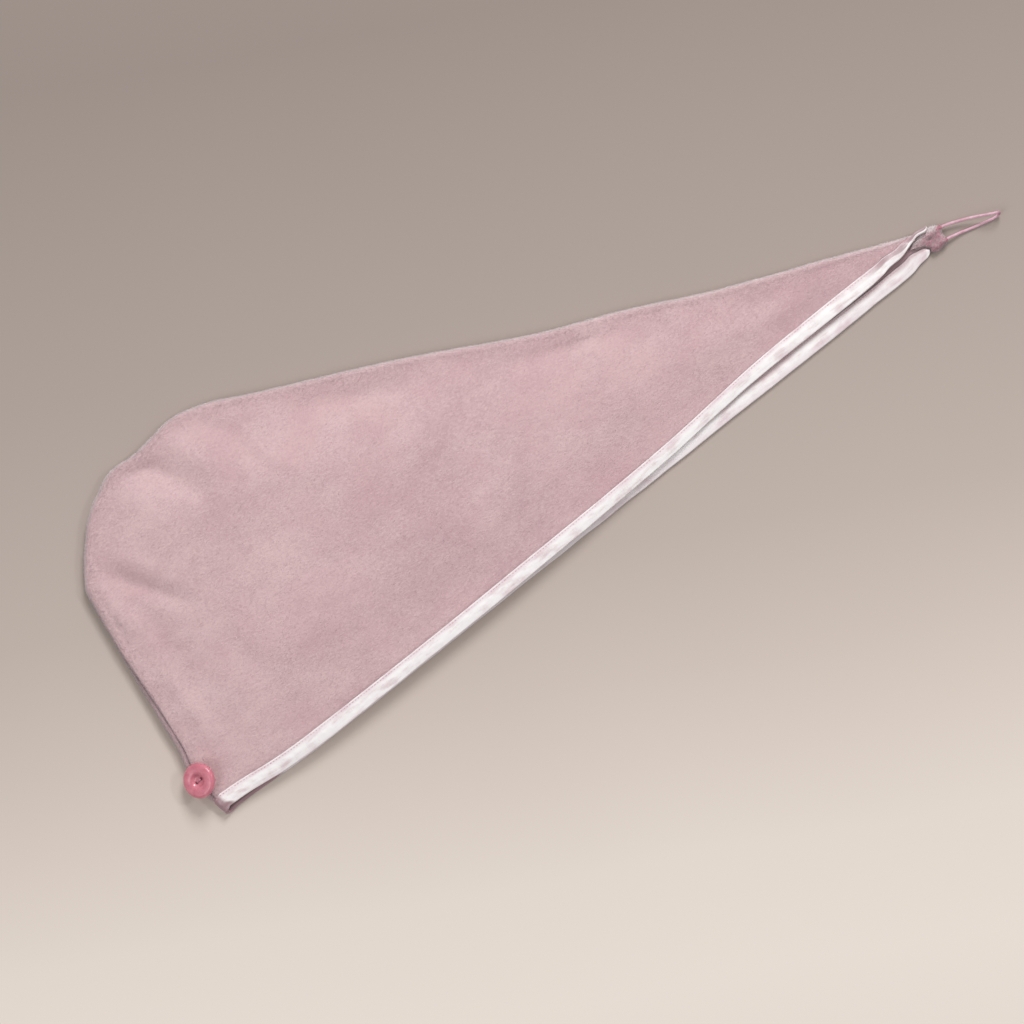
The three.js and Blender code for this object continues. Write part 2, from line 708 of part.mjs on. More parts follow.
// The thread: down through one hole, over the hollow's middle and down through the other
function threadGeometry() {
  const leg = holeSpacing / 2;
  const top = buttonThick - buttonDish + threadDiameter / 2 + clearance;
  const bend = threadDiameter * 0.75;
  const route = new THREE.CurvePath();
  const corner = (x, side) =>
    new THREE.QuadraticBezierCurve3(
      new THREE.Vector3(x + (side < 0 ? 0 : -bend), 0, side < 0 ? top - bend : top),
      new THREE.Vector3(x, 0, top),
      new THREE.Vector3(x + (side < 0 ? bend : 0), 0, side < 0 ? top : top - bend),
    );
  route.add(new THREE.LineCurve3(new THREE.Vector3(-leg, 0, 0), new THREE.Vector3(-leg, 0, top - bend)));
  route.add(corner(-leg, -1));
  route.add(new THREE.LineCurve3(new THREE.Vector3(bend - leg, 0, top), new THREE.Vector3(leg - bend, 0, top)));
  route.add(corner(leg, 1));
  route.add(new THREE.LineCurve3(new THREE.Vector3(leg, 0, top - bend), new THREE.Vector3(leg, 0, 0)));
  return tube(route, threadDiameter, 8, 24);
}

function tube(path, diameter, sides, steps) {
  const circle = new THREE.Shape();
  for (let s = 0; s <= sides; s += 1) {
    const angle = (2 * Math.PI * s) / sides;
    const x = (diameter / 2) * Math.cos(angle);
    const y = (diameter / 2) * Math.sin(angle);
    if (s === 0) circle.moveTo(x, y);
    else circle.lineTo(x, y);
  }
  const geometry = new THREE.ExtrudeGeometry(circle, { steps, extrudePath: path, bevelEnabled: false });
  geometry.deleteAttribute("normal");
  geometry.deleteAttribute("uv");
  return mergeVertices(geometry, 1e-4);
}

// Seats the button and its thread on the rolled nape edge, leaning outwards
function seatButton(ply) {
  const lean = new THREE.Vector3(
    Math.sin(buttonLean) * Math.cos(leanBearing),
    Math.sin(buttonLean) * Math.sin(leanBearing),
    Math.cos(buttonLean),
  );
  const seat = new THREE.Group();
  seat.quaternion.setFromUnitVectors(up, lean);
  const centre = new THREE.Vector3(buttonPlace.x, buttonPlace.y, 0);
  const points = ply.geometry.attributes.position;
  const point = new THREE.Vector3();
  let height = 0;
  for (let k = 0; k < points.count; k += 1) {
    point.fromBufferAttribute(points, k);
    if (Math.hypot(point.x - centre.x, point.y - centre.y) < buttonDiameter / 2) {
      height = Math.max(height, point.clone().sub(centre).dot(lean));
    }
  }
  seat.position.copy(centre).addScaledVector(up, (height + clearance) / lean.z);
  seat.add(piece("button", buttonGeometry(), "button"));
  seat.add(piece("button_thread", threadGeometry(), "thread"));
  return seat;
}

// The elastic loop, a limp cord
function elasticLoop() {
  const points = elasticRoute.map(([x, y, z]) => new THREE.Vector3(x, y, z));
  const path = new THREE.CatmullRomCurve3(points, false, "centripetal");
  return piece("elastic_loop", tube(path, elasticDiameter, elasticSides, elasticSteps), "elastic");
}

// The whole towel, with its origin under the middle of everything but the loose elastic
const towel = new THREE.Group();
const front = frontPanel();
towel.add(front, backPanel(), satinBinding(), seatButton(front));
towel.updateMatrixWorld(true);
const box = new THREE.Box3().setFromObject(towel, true);
const middle = box.getCenter(new THREE.Vector3());
towel.add(elasticLoop());
towel.position.set(-middle.x, -middle.y, -box.min.z);

export default towel;
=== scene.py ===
import math

import bpy
import numpy as np
from mathutils import Matrix, Vector


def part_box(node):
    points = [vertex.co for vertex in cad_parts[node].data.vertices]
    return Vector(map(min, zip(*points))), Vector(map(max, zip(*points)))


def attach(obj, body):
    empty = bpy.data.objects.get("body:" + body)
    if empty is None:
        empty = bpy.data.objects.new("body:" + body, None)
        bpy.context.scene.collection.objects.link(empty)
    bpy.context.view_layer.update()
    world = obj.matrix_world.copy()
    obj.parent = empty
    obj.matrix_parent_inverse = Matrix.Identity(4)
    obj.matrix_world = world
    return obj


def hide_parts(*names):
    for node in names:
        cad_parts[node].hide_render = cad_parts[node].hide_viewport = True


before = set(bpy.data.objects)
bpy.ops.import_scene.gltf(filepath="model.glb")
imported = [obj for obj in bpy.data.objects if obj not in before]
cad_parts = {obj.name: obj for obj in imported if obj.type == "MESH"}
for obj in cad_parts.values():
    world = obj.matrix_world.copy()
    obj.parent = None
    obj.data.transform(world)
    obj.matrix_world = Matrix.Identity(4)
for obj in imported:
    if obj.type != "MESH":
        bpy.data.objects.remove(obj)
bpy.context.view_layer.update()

# Camera
# The photograph looks straight down on the towel, turned so that its open edge climbs to the right.
# Places on the towel are measured from its nape corner.
nape_corner = np.array([-0.319538, -0.117962, 0.0])
photo_turn = math.radians(-38.19)
photo_right = Vector((math.cos(photo_turn), math.sin(photo_turn), 0))
photo_up = Vector((-math.sin(photo_turn), math.cos(photo_turn), 0))
view_centre = Vector((0.28999, 0.04067, 0)) + Vector(nape_corner)
view_height = 2.408
lens = bpy.data.cameras.new("overhead")
lens.type = "PERSP"
lens.sensor_width = 36
lens.lens = 119.42
lens.clip_end = 20
camera = bpy.data.objects.new("overhead", lens)
camera.location = view_centre + Vector((0, 0, view_height))
camera.rotation_euler = (0, 0, photo_turn)
bpy.context.scene.collection.objects.link(camera)
bpy.context.scene.camera = camera

# Elastic loop
# A limp round elastic with a braided cover, sewn down by both ends inside the tip of the tail.
# It lies loosely on the surface, one leg under the other's turn.
loop_diameter = 0.002
loop_sides = 24
loop_rings = 560
loop_route = np.array([
    (0.6395, 0.0116, 0.00395), (0.645, 0.0119, 0.00395), (0.6505, 0.0121, 0.00395),
    (0.655, 0.0111, 0.0039), (0.66, 0.0095, 0.0039), (0.666, 0.0071, 0.0042),
    (0.672, 0.0045, 0.005), (0.678, 0.0015, 0.0062), (0.683, -0.0012, 0.0073),
    (0.687, -0.0033, 0.0081), (0.6902, -0.0048, 0.0076), (0.6919, -0.0058, 0.0056),
    (0.6917, -0.0065, 0.0032), (0.6896, -0.0069, 0.0015), (0.686, -0.0065, 0.00105),
    (0.681, -0.0053, 0.00105), (0.675, -0.0038, 0.00105), (0.668, -0.0019, 0.0012),
    (0.662, -0.0001, 0.0019), (0.657, 0.0011, 0.003), (0.653, 0.002, 0.00375),
    (0.649, 0.0024, 0.00395), (0.644, 0.0026, 0.00395), (0.6395, 0.0027, 0.00395),
]) + nape_corner


def smooth_line(points, steps=40):
    """A smooth line through points, closer to them where they lie close together."""
    points = np.asarray(points, float)
    ends = np.vstack([2 * points[0] - points[1], points, 2 * points[-1] - points[-2]])
    t = np.linspace(0, 1, steps, endpoint=False)[:, None]
    pieces = []
    for a, b, c, d in zip(ends, ends[1:], ends[2:], ends[3:]):
        d0, d1, d2 = (max(float(np.linalg.norm(q - p)), 1e-9) ** 0.5 for p, q in ((a, b), (b, c), (c, d)))
        start = ((b - a) / d0 - (c - a) / (d0 + d1) + (c - b) / d1) * d1
        end = ((c - b) / d1 - (d - b) / (d1 + d2) + (d - c) / d2) * d1
        bow = -3 * b + 3 * c - 2 * start - end
        pieces.append(b + start * t + bow * t**2 + (2 * b - 2 * c + start + end) * t**3)
    return np.vstack(pieces + [points[-1:]])


def run_of(line):
    """Distance along a line at each of its points."""
    return np.concatenate([[0], np.cumsum(np.linalg.norm(np.diff(line, axis=0), axis=1))])


def read_at(places, keys, rows):
    """Rows of numbers read off at places between their keys."""
    return np.stack([np.interp(places, keys, column) for column in rows.T], 1)


def at_runs(line, runs):
    """Points of a line at given distances along it."""
    return read_at(runs, run_of(line), line)


def unit(vectors):
    """The same directions, one long."""
    return vectors / np.maximum(np.linalg.norm(vectors, axis=-1, keepdims=True), 1e-12)


def make_mesh(name, points, quads, triangles=(), uv=None, values=None):
    """A mesh from points in metres, with its faces turned outwards, a UV map and named values."""
    quads = np.asarray(quads, int).reshape(-1, 4)
    triangles = np.asarray(triangles, int).reshape(-1, 3)
    fans = np.vstack([quads[:, [0, 1, 2]], quads[:, [0, 2, 3]], triangles])
    a, b, c = (points[fans[:, k]] for k in range(3))
    if np.einsum("ij,ij->", a, np.cross(b, c)) < 0:
        quads, triangles = quads[:, ::-1], triangles[:, ::-1]
    corners = np.concatenate([quads.ravel(), triangles.ravel()]).astype(np.int32)
    starts = np.concatenate([4 * np.arange(len(quads)), 4 * len(quads) + 3 * np.arange(len(triangles))])
    mesh = bpy.data.meshes.new(name)
    mesh.vertices.add(len(points))
    mesh.vertices.foreach_set("co", np.ascontiguousarray(points, np.float32).ravel())
    mesh.loops.add(len(corners))
    mesh.loops.foreach_set("vertex_index", corners)
    mesh.polygons.add(len(starts))
    mesh.polygons.foreach_set("loop_start", starts.astype(np.int32))
    mesh.update(calc_edges=True)
    mesh.shade_smooth()
    if uv is not None:
        layer = mesh.uv_layers.new(name="cloth")
        layer.data.foreach_set("uv", np.ascontiguousarray(uv[corners], np.float32).ravel())
    for key, numbers in (values or {}).items():
        layer = mesh.attributes.new(key, "FLOAT", "POINT")
        layer.data.foreach_set("value", np.asarray(numbers, np.float32))
    mesh.validate()
    piece = bpy.data.objects.new(name, mesh)
    bpy.context.scene.collection.objects.link(piece)
    return piece


def ring_faces(rings, sides):
    """Faces between closed rings of points that follow each other."""
    k = np.arange(rings - 1)[:, None] * sides
    s = np.arange(sides)[None]
    t = (s + 1) % sides
    return np.stack([k + s, k + t, k + t + sides, k + s + sides], -1).reshape(-1, 4)


def end_fans(count, sides):
    """Triangles that close the first and the last ring round the two points that come after them all."""
    s = np.arange(sides)
    t = (s + 1) % sides
    return np.vstack([
        np.stack([np.full(sides, count), t, s], 1),
        np.stack([np.full(sides, count + 1), count - sides + s, count - sides + t], 1),
    ])


def tube(line, radius, sides, relief=None):
    """Points, faces and UVs of a closed tube round a line; relief gives the skin's rise by run and turn."""
    ahead = unit(np.gradient(line, axis=0))
    across = np.zeros_like(ahead)
    side = np.cross(ahead[0], (0, 0, 1))
    if np.linalg.norm(side) < 0.1:
        side = np.cross(ahead[0], (0, 1, 0))
    for k, direction in enumerate(ahead):
        side = side - direction * np.dot(side, direction)
        side = side / np.linalg.norm(side)
        across[k] = side
    over = np.cross(ahead, across)
    turn = 2 * np.pi * np.arange(sides) / sides
    runs = run_of(line)[:, None]
    skin = radius * (1 + (relief(runs, turn[None]) if relief else 0)) * np.ones((len(line), sides))
    ring = across[:, None] * np.cos(turn)[None, :, None] + over[:, None] * np.sin(turn)[None, :, None]
    points = (line[:, None] + ring * skin[..., None]).reshape(-1, 3)
    quads, caps = ring_faces(len(line), sides), end_fans(len(points), sides)
    points = np.vstack([points, line[:1], line[-1:]])
    uv = np.stack(np.broadcast_arrays(runs, radius * turn[None]), -1).reshape(-1, 2)
    uv = np.vstack([uv, uv[:1], uv[-1:]])
    return points, quads, caps, uv


class Shade:
    """A socket among a material's nodes, so that shader maths reads as plain sums."""

    def __init__(self, tree, socket=None):
        self.tree, self.socket = tree, socket

    def node(self, kind, settings=None, values=None, output=0):
        """Any node: its type, its settings, then the values or links of its sockets."""
        made = self.tree.nodes.new("ShaderNode" + kind)
        for key, setting in (settings or {}).items():
            if key == "stops":
                while len(made.color_ramp.elements) < len(setting):
                    made.color_ramp.elements.new(0.5)
                for element, (place, colour) in zip(made.color_ramp.elements, setting):
                    element.position = place
                    element.color = (*colour, 1)
            else:
                setattr(made, key, setting)
        for key, value in (values or {}).items():
            socket = made.inputs[key]
            if isinstance(value, Shade):
                self.tree.links.new(value.socket, socket)
            elif isinstance(value, tuple) and len(value) == 3 and socket.type == "RGBA":
                socket.default_value = (*value, 1)
            else:
                socket.default_value = value
        return Shade(self.tree, made.outputs[output])

    def sum(self, operation, first, second):
        return self.node("Math", {"operation": operation}, {0: first, 1: second})

    def __add__(self, other):
        return self.sum("ADD", self, other)

    def __radd__(self, other):
        return self.sum("ADD", other, self)

    def __sub__(self, other):
        return self.sum("SUBTRACT", self, other)

    def __rsub__(self, other):
        return self.sum("SUBTRACT", other, self)

    def __mul__(self, other):
        return self.sum("MULTIPLY", self, other)

    def __rmul__(self, other):
        return self.sum("MULTIPLY", other, self)

    def mix(self, low, high):
        """One colour where this is 0, the other where it is 1."""
        return self.node("Mix", {"data_type": "RGBA"}, {0: self, 6: low, 7: high}, output=2)

    def between(self, low, high, to_low=0.0, to_high=1.0):
        """This value spread from one range over another, kept inside it."""
        return self.node("MapRange", {"interpolation_type": "SMOOTHSTEP"}, {
            "Value": self, "From Min": low, "From Max": high, "To Min": to_low, "To Max": to_high})


def noise(where, scale, detail=2.0, **more):
    """Cloudy values about 0.5, in lumps about one over the scale across."""
    return where.node("TexNoise", values={"Vector": where, "Scale": scale, "Detail": detail, **more})


def split(where):
    """The first two coordinates of a place."""
    return [where.node("SeparateXYZ", values={0: where}, output=k) for k in (0, 1)]


def sine(value):
    """Its sine, for what repeats in even rows."""
    return value.node("Math", {"operation": "SINE"}, {0: value})


def bump(height, strength, distance):
    """The normal of a surface with this relief."""
    return height.node("Bump", values={"Strength": strength, "Distance": distance, "Height": height})


def new_material(name):
    """An empty material and the start of its nodes."""
    material = bpy.data.materials.new(name)
    material.use_nodes = True
    material.node_tree.nodes.clear()
    return material, Shade(material.node_tree)


def finish_material(start, constants, varying):
    """The shader itself: numbers that are the same all over, then what varies over the surface."""
    tree = start.tree
    shader = tree.nodes.new("ShaderNodeBsdfPrincipled")
    for key, value in constants.items():
        shader.inputs[key].default_value = value
    for key, value in varying.items():
        tree.links.new(value.socket, shader.inputs[key])
    output = tree.nodes.new("ShaderNodeOutputMaterial")
    tree.links.new(shader.outputs[0], output.inputs[0])


# Strands of the cover: radians of their wave for a metre along the cord and for a metre round it
lay_along, lay_round = 3900, 4000
elastic_yarn, start = new_material("elastic_yarn")
along_cord, round_cord = split(start.node("UVMap", {"uv_map": "cloth"}))
lean_right = sine(along_cord * lay_along + round_cord * lay_round)
lean_left = sine(along_cord * lay_along - round_cord * lay_round)
plait = (lean_right * lean_left).between(-1.0, 1.0)
fleck = noise(start.node("TexCoord", output=3), 260.0, 3.0)
cord_colour = (plait * 0.35 + fleck * 0.8).between(0.2, 0.95).mix((0.58, 0.27, 0.375), (0.86, 0.60, 0.69))
# Painted shade inside the cord's turn, darker pink there.
shade_at_turn = along_cord.between(0.0535, 0.0575) - along_cord.between(0.0585, 0.0625)
cord_colour = (shade_at_turn * 0.7).mix(cord_colour, (0.36, 0.12, 0.20))
finish_material(start, {"Roughness": 0.62, "Sheen Weight": 0.35, "Sheen Roughness": 0.4,
                        "Sheen Tint": (1, 0.8, 0.86, 1)},
                {"Base Color": cord_colour, "Normal": bump(plait, 0.7, 0.00015)})


def plaited(run, turn):
    """Relief of the braided cover."""
    right, left = lay_along * run + 4 * turn, lay_along * run - 4 * turn
    return 0.045 * np.sin(right) * np.sin(left) - 0.03


loop_line = smooth_line(loop_route)
loop_length = run_of(loop_line)[-1]
loop_line = at_runs(loop_line, np.linspace(0, loop_length, loop_rings))
points, quads, caps, uv = tube(loop_line, loop_diameter / 2, loop_sides, plaited)
elastic = make_mesh("elastic", points, quads, caps, uv)
elastic.data.materials.append(elastic_yarn)
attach(elastic, "root")
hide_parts("elastic_loop")

# Upper ply
# Plush towelling, cut as half of the hood with its tail and sewn to the lower ply right side in, so
# that its sewn edge rolls over softly. It is puffed up over the hollow and pressed flat in its binding.
towel_length = 652.0
hood_height = 242.0
hood_loft = 18.5
ply_wall = 2.6
hem_wall = 1.0
hem_step = 0.6
seam_depth = 5.0
seam_height = 9.0
seam_gap = 0.35
seam_run = 95.0
mouth_run = 90.0
upper_end = 630.0
tape_width = 11.0
tape_fold = 1.3
upper_tape_end = 645.0
lower_tape_end = 637.0
far_from_seam = 30.0
lowest = 0.02
nape_reach = 60.0
# A tuft of the nap: its least height and half width and what chance adds to them, and how much it leans
tuft_height, tuft_taller = 0.55, 0.75
tuft_wide, tuft_wider = 0.13, 0.1
tuft_lean = 0.45
nape_rows = np.array([
    (0.0, -0.004), (-0.0045, 0.045), (-0.0055, 0.1), (-0.0046, 0.17), (0.0, 0.215), (0.0046, 0.31),
    (0.0115, 0.455), (0.0175, 0.58), (0.0275, 0.755),
])
crown_rows = np.array([
    (0.0275, 0.755), (0.046, 0.826), (0.08, 0.921), (0.107, 0.963), (0.131, 0.988), (0.161, 0.983),
    (0.19, 0.992), (0.215, 1.0), (0.253, 0.975), (0.307, 0.905), (0.383, 0.81), (0.46, 0.711),
    (0.583, 0.537), (0.675, 0.43), (0.767, 0.31), (0.882, 0.182), (0.97, 0.083), (0.989, 0.07),
    (1.0, 0.05),
])
# Outer edges of the binding: share of the length, then shares of the height on the upper and lower ply
mouth_rows = np.array([
    (0.0, 0.003, -0.0115), (0.031, -0.002, -0.013), (0.077, -0.0155, -0.019), (0.123, -0.0205, -0.0245),
    (0.307, -0.0165, -0.021), (0.46, -0.008, -0.0185), (0.613, 0.008, -0.017), (0.736, 0.03, -0.015),
    (0.859, 0.0345, -0.0135), (0.9, 0.0375, -0.0125), (0.92, 0.0415, -0.012), (0.931, 0.047, -0.0115),
    (0.948, 0.0485, -0.0095), (0.96, 0.058, -0.002), (0.969, 0.0648, 0.0), (0.9755, 0.0692, 0.0005),
    (0.9815, 0.0665, 0.001), (0.9862, 0.0655, 0.001), (0.99, 0.0695, 0.001), (1.0, 0.07, 0.0015),
])
# Share of the length; heights at the lip, the binding's inner edge and over the hollow, as shares of the
# loft; thickness and depth of the sewn edge, and widths of the binding on the two plies, as shares
section_rows = np.array([
    (0.0, 0.45, 0.47, 0.7, 0.93, 1, 0.93, 1), (0.092, 0.52, 0.57, 0.84, 1, 1, 0.92, 1),
    (0.184, 0.63, 0.68, 0.95, 1.04, 1, 0.87, 1), (0.307, 0.655, 0.71, 1, 1.02, 1, 0.83, 1),
    (0.43, 0.6, 0.655, 0.94, 1, 1, 0.83, 1), (0.552, 0.445, 0.51, 0.8, 0.97, 1, 0.74, 1),
    (0.675, 0.36, 0.41, 0.65, 0.93, 0.97, 0.69, 1), (0.798, 0.33, 0.37, 0.54, 0.88, 0.9, 0.81, 0.95),
    (0.89, 0.325, 0.35, 0.45, 0.82, 0.78, 0.8, 0.84), (0.954, 0.32, 0.33, 0.38, 0.66, 0.5, 0.45, 0.8),
    (0.966, 0.318, 0.327, 0.37, 0.6, 0.4, 0.19, 0.6), (0.98, 0.315, 0.325, 0.37, 0.58, 0.36, 0.12, 0.5),
    (1.0, 0.31, 0.32, 0.36, 0.56, 0.36, 0.1, 0.4),
])
LIP, HEM, FULL, SEAM, DEPTH, UPPER, LOWER = range(1, 8)
# Share of the sewn edge, and degrees of the seam above the outermost line of the roll
seam_rows = np.array([
    (0.0, 50), (0.03, 70), (0.075, 75), (0.095, 66), (0.12, 48), (0.15, 14), (0.19, 0), (1.0, 0),
])
# Folds: two ends in shares of the length and height, rise as a share of the loft, half width of the height
fold_rows = np.array([
    (0.149, 0.985, 0.194, 0.785, -0.29, 0.04), (0.197, 0.975, 0.218, 0.826, 0.11, 0.037),
    (0.115, 0.94, 0.136, 0.826, 0.07, 0.041), (0.055, 0.76, 0.11, 0.545, -0.18, 0.029),
    (0.041, 0.68, 0.047, 0.54, 0.15, 0.033), (0.046, 0.5, 0.036, 0.14, 0.13, 0.036),
    (0.077, 0.79, 0.1, 0.7, 0.08, 0.029), (0.242, 0.94, 0.272, 0.745, -0.14, 0.031),
    (0.256, 0.85, 0.292, 0.65, 0.1, 0.025), (0.325, 0.79, 0.455, 0.62, -0.15, 0.037),
    (0.518, 0.52, 0.652, 0.395, -0.14, 0.033), (0.767, 0.215, 0.84, 0.145, -0.07, 0.033),
    (0.115, 0.4, 0.13, 0.17, -0.1, 0.06),
])


def follow(rows, column, at):
    """Value of a table's column at places along it, on a smooth curve through its rows."""
    keys, column = rows[:, 0], rows[:, column]
    at = np.asarray(at, float)
    low = np.r_[0, np.arange(len(keys) - 1)]
    high = np.r_[np.arange(1, len(keys)), len(keys) - 1]
    slope = (column[high] - column[low]) / (keys[high] - keys[low])
    i = np.clip(np.searchsorted(keys, at) - 1, 0, len(keys) - 2)
    span = keys[i + 1] - keys[i]
    t = np.clip((at - keys[i]) / span, 0, 1)
    rise = column[i + 1] - column[i]
    bend = (1 - t) * (slope[i] * span - rise) + t * (rise - slope[i + 1] * span)
    return column[i] + t * rise + t * (1 - t) * bend


def ease(t):
    """From 0 to 1 with a soft start and end."""
    s = np.clip(t, 0, 1)
    return s * s * (3 - 2 * s)


def section(column, x):
    """A column of the section table at places along the towel."""
    return follow(section_rows, column, np.asarray(x) / towel_length)


def unevenness(x, y, size, seed):
    """Smooth chance heights from -1 to 1, in lumps about size mm across."""
    table = np.random.default_rng(seed).uniform(-1, 1, (256, 256))
    u, v = np.asarray(x) / size + 60, np.asarray(y) / size + 60
    i, j = np.floor(u).astype(int), np.floor(v).astype(int)
    fu, fv = ease(u - i), ease(v - j)
    low = table[i % 256, j % 256] * (1 - fu) + table[(i + 1) % 256, j % 256] * fu
    high = table[i % 256, (j + 1) % 256] * (1 - fu) + table[(i + 1) % 256, (j + 1) % 256] * fu
    return low * (1 - fv) + high * fv


# The sewn edge as one softly smoothed line, and the direction along it
size = np.array([towel_length, hood_height])
nape_line = smooth_line(nape_rows * size)
crown_line = smooth_line(crown_rows * size)
nape_length = run_of(nape_line)[-1]
sewn_line = np.vstack([nape_line, crown_line[1:]])
sewn_length = run_of(sewn_line)[-1]
sewn_runs = np.arange(0, sewn_length, 0.5)
sewn_line = at_runs(sewn_line, sewn_runs)
kernel = np.exp(-0.5 * (np.arange(-10, 11) / 4) ** 2)
kernel = kernel / kernel.sum()
before, after = 2 * sewn_line[0] - sewn_line[10:0:-1], 2 * sewn_line[-1] - sewn_line[-2:-12:-1]
longer = np.vstack([before, sewn_line, after])
sewn_line = np.stack([np.convolve(longer[:, k], kernel, "valid") for k in range(2)], 1)
sewn_ahead = unit(np.gradient(sewn_line, axis=0))
crown_xy = sewn_line[sewn_runs > nape_length]


def on_nape(runs):
    """1 along the nape, where the seam lies on top, and 0 along the crown."""
    return ease((nape_length + 10 - runs) / 40)


class Stations:
    """Places along the sewn edge, at given distances from the nape corner."""

    def __init__(self, runs):
        self.runs = np.asarray(runs, float)
        self.place = read_at(runs, sewn_runs, sewn_line)
        ahead = unit(read_at(runs, sewn_runs, sewn_ahead))
        self.inwards = np.stack([ahead[:, 1], -ahead[:, 0]], 1)
        x = self.place[:, 0]
        self.depth = seam_depth * section(DEPTH, x)
        self.half = seam_height * section(SEAM, x) / 2
        self.seam = follow(seam_rows, 1, self.runs / sewn_length)
        self.gap = np.degrees(seam_gap / (self.depth + self.half - ply_wall))

    def roll(self, degrees, dip=0.0):
        """Middle of the wall on the rolled edge at an angle above its outermost line, and its normal."""
        flat, rise = np.cos(np.radians(degrees)), np.sin(np.radians(degrees))
        reach, lift = self.depth - ply_wall / 2, self.half - ply_wall / 2
        normal = unit(np.column_stack([-self.inwards * (flat / reach)[:, None], rise / lift]))
        place = self.place + self.inwards * (self.depth - reach * flat)[:, None]
        return np.column_stack([place, self.half + lift * rise]) - normal * np.reshape(dip, (-1, 1)), normal


def run_where(axis, value, low, high):
    """Distance along the sewn edge at which it passes a given x or y."""
    inside = (sewn_runs >= low) & (sewn_runs <= high)
    return np.interp(value, sewn_line[inside, axis], sewn_runs[inside])


def lip_y(column, x):
    """Where the cloth ends inside the binding: column 1 on the upper ply, 2 on the lower one."""
    return hood_height * follow(mouth_rows, column, np.asarray(x) / towel_length) + tape_fold


def hem_run(column, x):
    """Width of the pressed hem, a small step wider than the binding on it."""
    return hem_step + tape_width * section(UPPER if column == 1 else LOWER, x)


corner_hem = (lip_y(1, 0) + lip_y(2, 0)) / 2 + hem_run(1, 0)
corner_run = float(run_where(1, corner_hem, 0, nape_length * 0.9))
upper_end_run = float(run_where(0, upper_end, nape_length, sewn_length))
roll_top = Stations(np.linspace(corner_run, upper_end_run, 420)).roll(90)[0]


def distance_to(line, x, y):
    """Shortest distance from places to a line in plan."""
    a, b = line[:-1, :2], line[1:, :2]
    step = b - a
    best = np.full(np.shape(x), np.inf)
    for (ax, ay), (dx, dy) in zip(a, step):
        t = np.clip(((x - ax) * dx + (y - ay) * dy) / (dx * dx + dy * dy), 0, 1)
        np.minimum(best, np.hypot(x - ax - t * dx, y - ay - t * dy), out=best)
    return best


def within(run, room):
    """A run that never takes up more than the room there is."""
    return 1 / (1 / run + 1 / room)


def fold_rise(x, y):
    """Height that the folds add, each fading towards its two ends."""
    rise = np.zeros(np.shape(x))
    for x0, y0, x1, y1, up, wide in fold_rows:
        x0, x1, y0, y1 = x0 * towel_length, x1 * towel_length, y0 * hood_height, y1 * hood_height
        dx, dy = x1 - x0, y1 - y0
        t = np.clip(((x - x0) * dx + (y - y0) * dy) / (dx * dx + dy * dy), 0, 1)
        away = np.hypot(x - x0 - t * dx, y - y0 - t * dy) / (wide * hood_height)
        fading = 0.35 + 0.65 * np.sin(np.pi * np.clip(t, 0.04, 0.96))
        rise += 0.9 * fading * up * hood_loft * np.exp(-away * away)
    return rise


def ply_height(x, y):
    """Height of the middle of the upper ply's wall."""
    from_seam = distance_to(roll_top, x, y)
    from_hem = np.maximum(y - lip_y(1, x) - hem_run(1, x), 0)
    edge = seam_height * section(SEAM, x) - ply_wall / 2
    top = np.interp(x, crown_xy[:, 0], crown_xy[:, 1])
    room = np.maximum(top - seam_depth * section(DEPTH, x) - lip_y(1, x) - hem_run(1, x), 1)
    hem = section(HEM, x) * hood_loft
    full = section(FULL, x) * hood_loft
    opened = hem + (full - hem) * ease(from_hem / within(mouth_run, room))
    fade = ease(from_seam / 9) * ease(from_hem / 9)
    lumps = 0.5 * unevenness(x, y * 0.8, 46, 3) + 0.2 * unevenness(x * 0.8, y, 21, 4)
    creases = (fold_rise(x, y) + lumps) * fade
    return edge + (opened - edge) * ease(from_seam / within(seam_run, room)) + creases


def lip_height(x):
    """Height of the middle of the upper ply's open edge."""
    from_seam = distance_to(roll_top, np.asarray(x, float), lip_y(1, x) + hem_run(1, x))
    corner = seam_height * section(SEAM, 0) - ply_wall / 2
    return corner + (section(LIP, x) * hood_loft - corner) * ease(from_seam / seam_run)


# The open edge as one run: along the upper ply from the tail, round the nape corner, along the lower ply
corner = Stations([corner_run])
corner_x = float(corner.roll(90)[0][0, 0])
corner_shift = float(np.interp(0, sewn_runs, sewn_line[:, 0]) - corner.place[0, 0])
lower_lip_height = hem_wall / 2 + 0.3 + 1.0
lower_end = float(sewn_line[-1, 0]) - 1


def shift_at(x):
    """How far the open edge is moved along, so that it meets the seam at the nape corner."""
    return corner_shift * (1 - ease((x - corner_x) / seam_run))


def upper_lip(x):
    """The inner line of the binding on the upper ply, the open edge, and the width between them."""
    y, run = lip_y(1, x), hem_run(1, x)
    hem = np.column_stack([x, y + run, ply_height(x, y + run)])
    return hem, np.column_stack([x + shift_at(x), y, lip_height(x)]), run


def lower_lip(x):
    """The same on the lower ply."""
    y, run = lip_y(2, x), hem_run(2, x)
    level = np.full(len(x), lower_lip_height)
    return np.column_stack([x, y + run, level]), np.column_stack([x + shift_at(x), y, level]), run


def corner_lip(degrees):
    """The open edge round the nape corner, where one ply turns into the other."""
    middle = Stations(np.full(len(degrees), corner_run)).roll(degrees)[0]
    first, last = (f(np.array([corner_x]))[1][0] for f in (upper_lip, lower_lip))
    turn = 1 - ((90 + degrees) / 180) ** 2.2
    lip = middle.copy()
    lip[:, 0] += corner_shift - 1.5 * np.sin(np.pi * ((90 - degrees) / 180) ** 1.3)
    lip[:, 1] = first[1] + (last[1] - first[1]) * turn
    lip[:, 2] = last[2] + (first[2] - last[2]) * (1 + np.sin(np.radians(degrees))) / 2
    hem = np.column_stack([middle[:, :2], lip[:, 2]])
    return hem, lip, np.linalg.norm(lip - hem, axis=1)


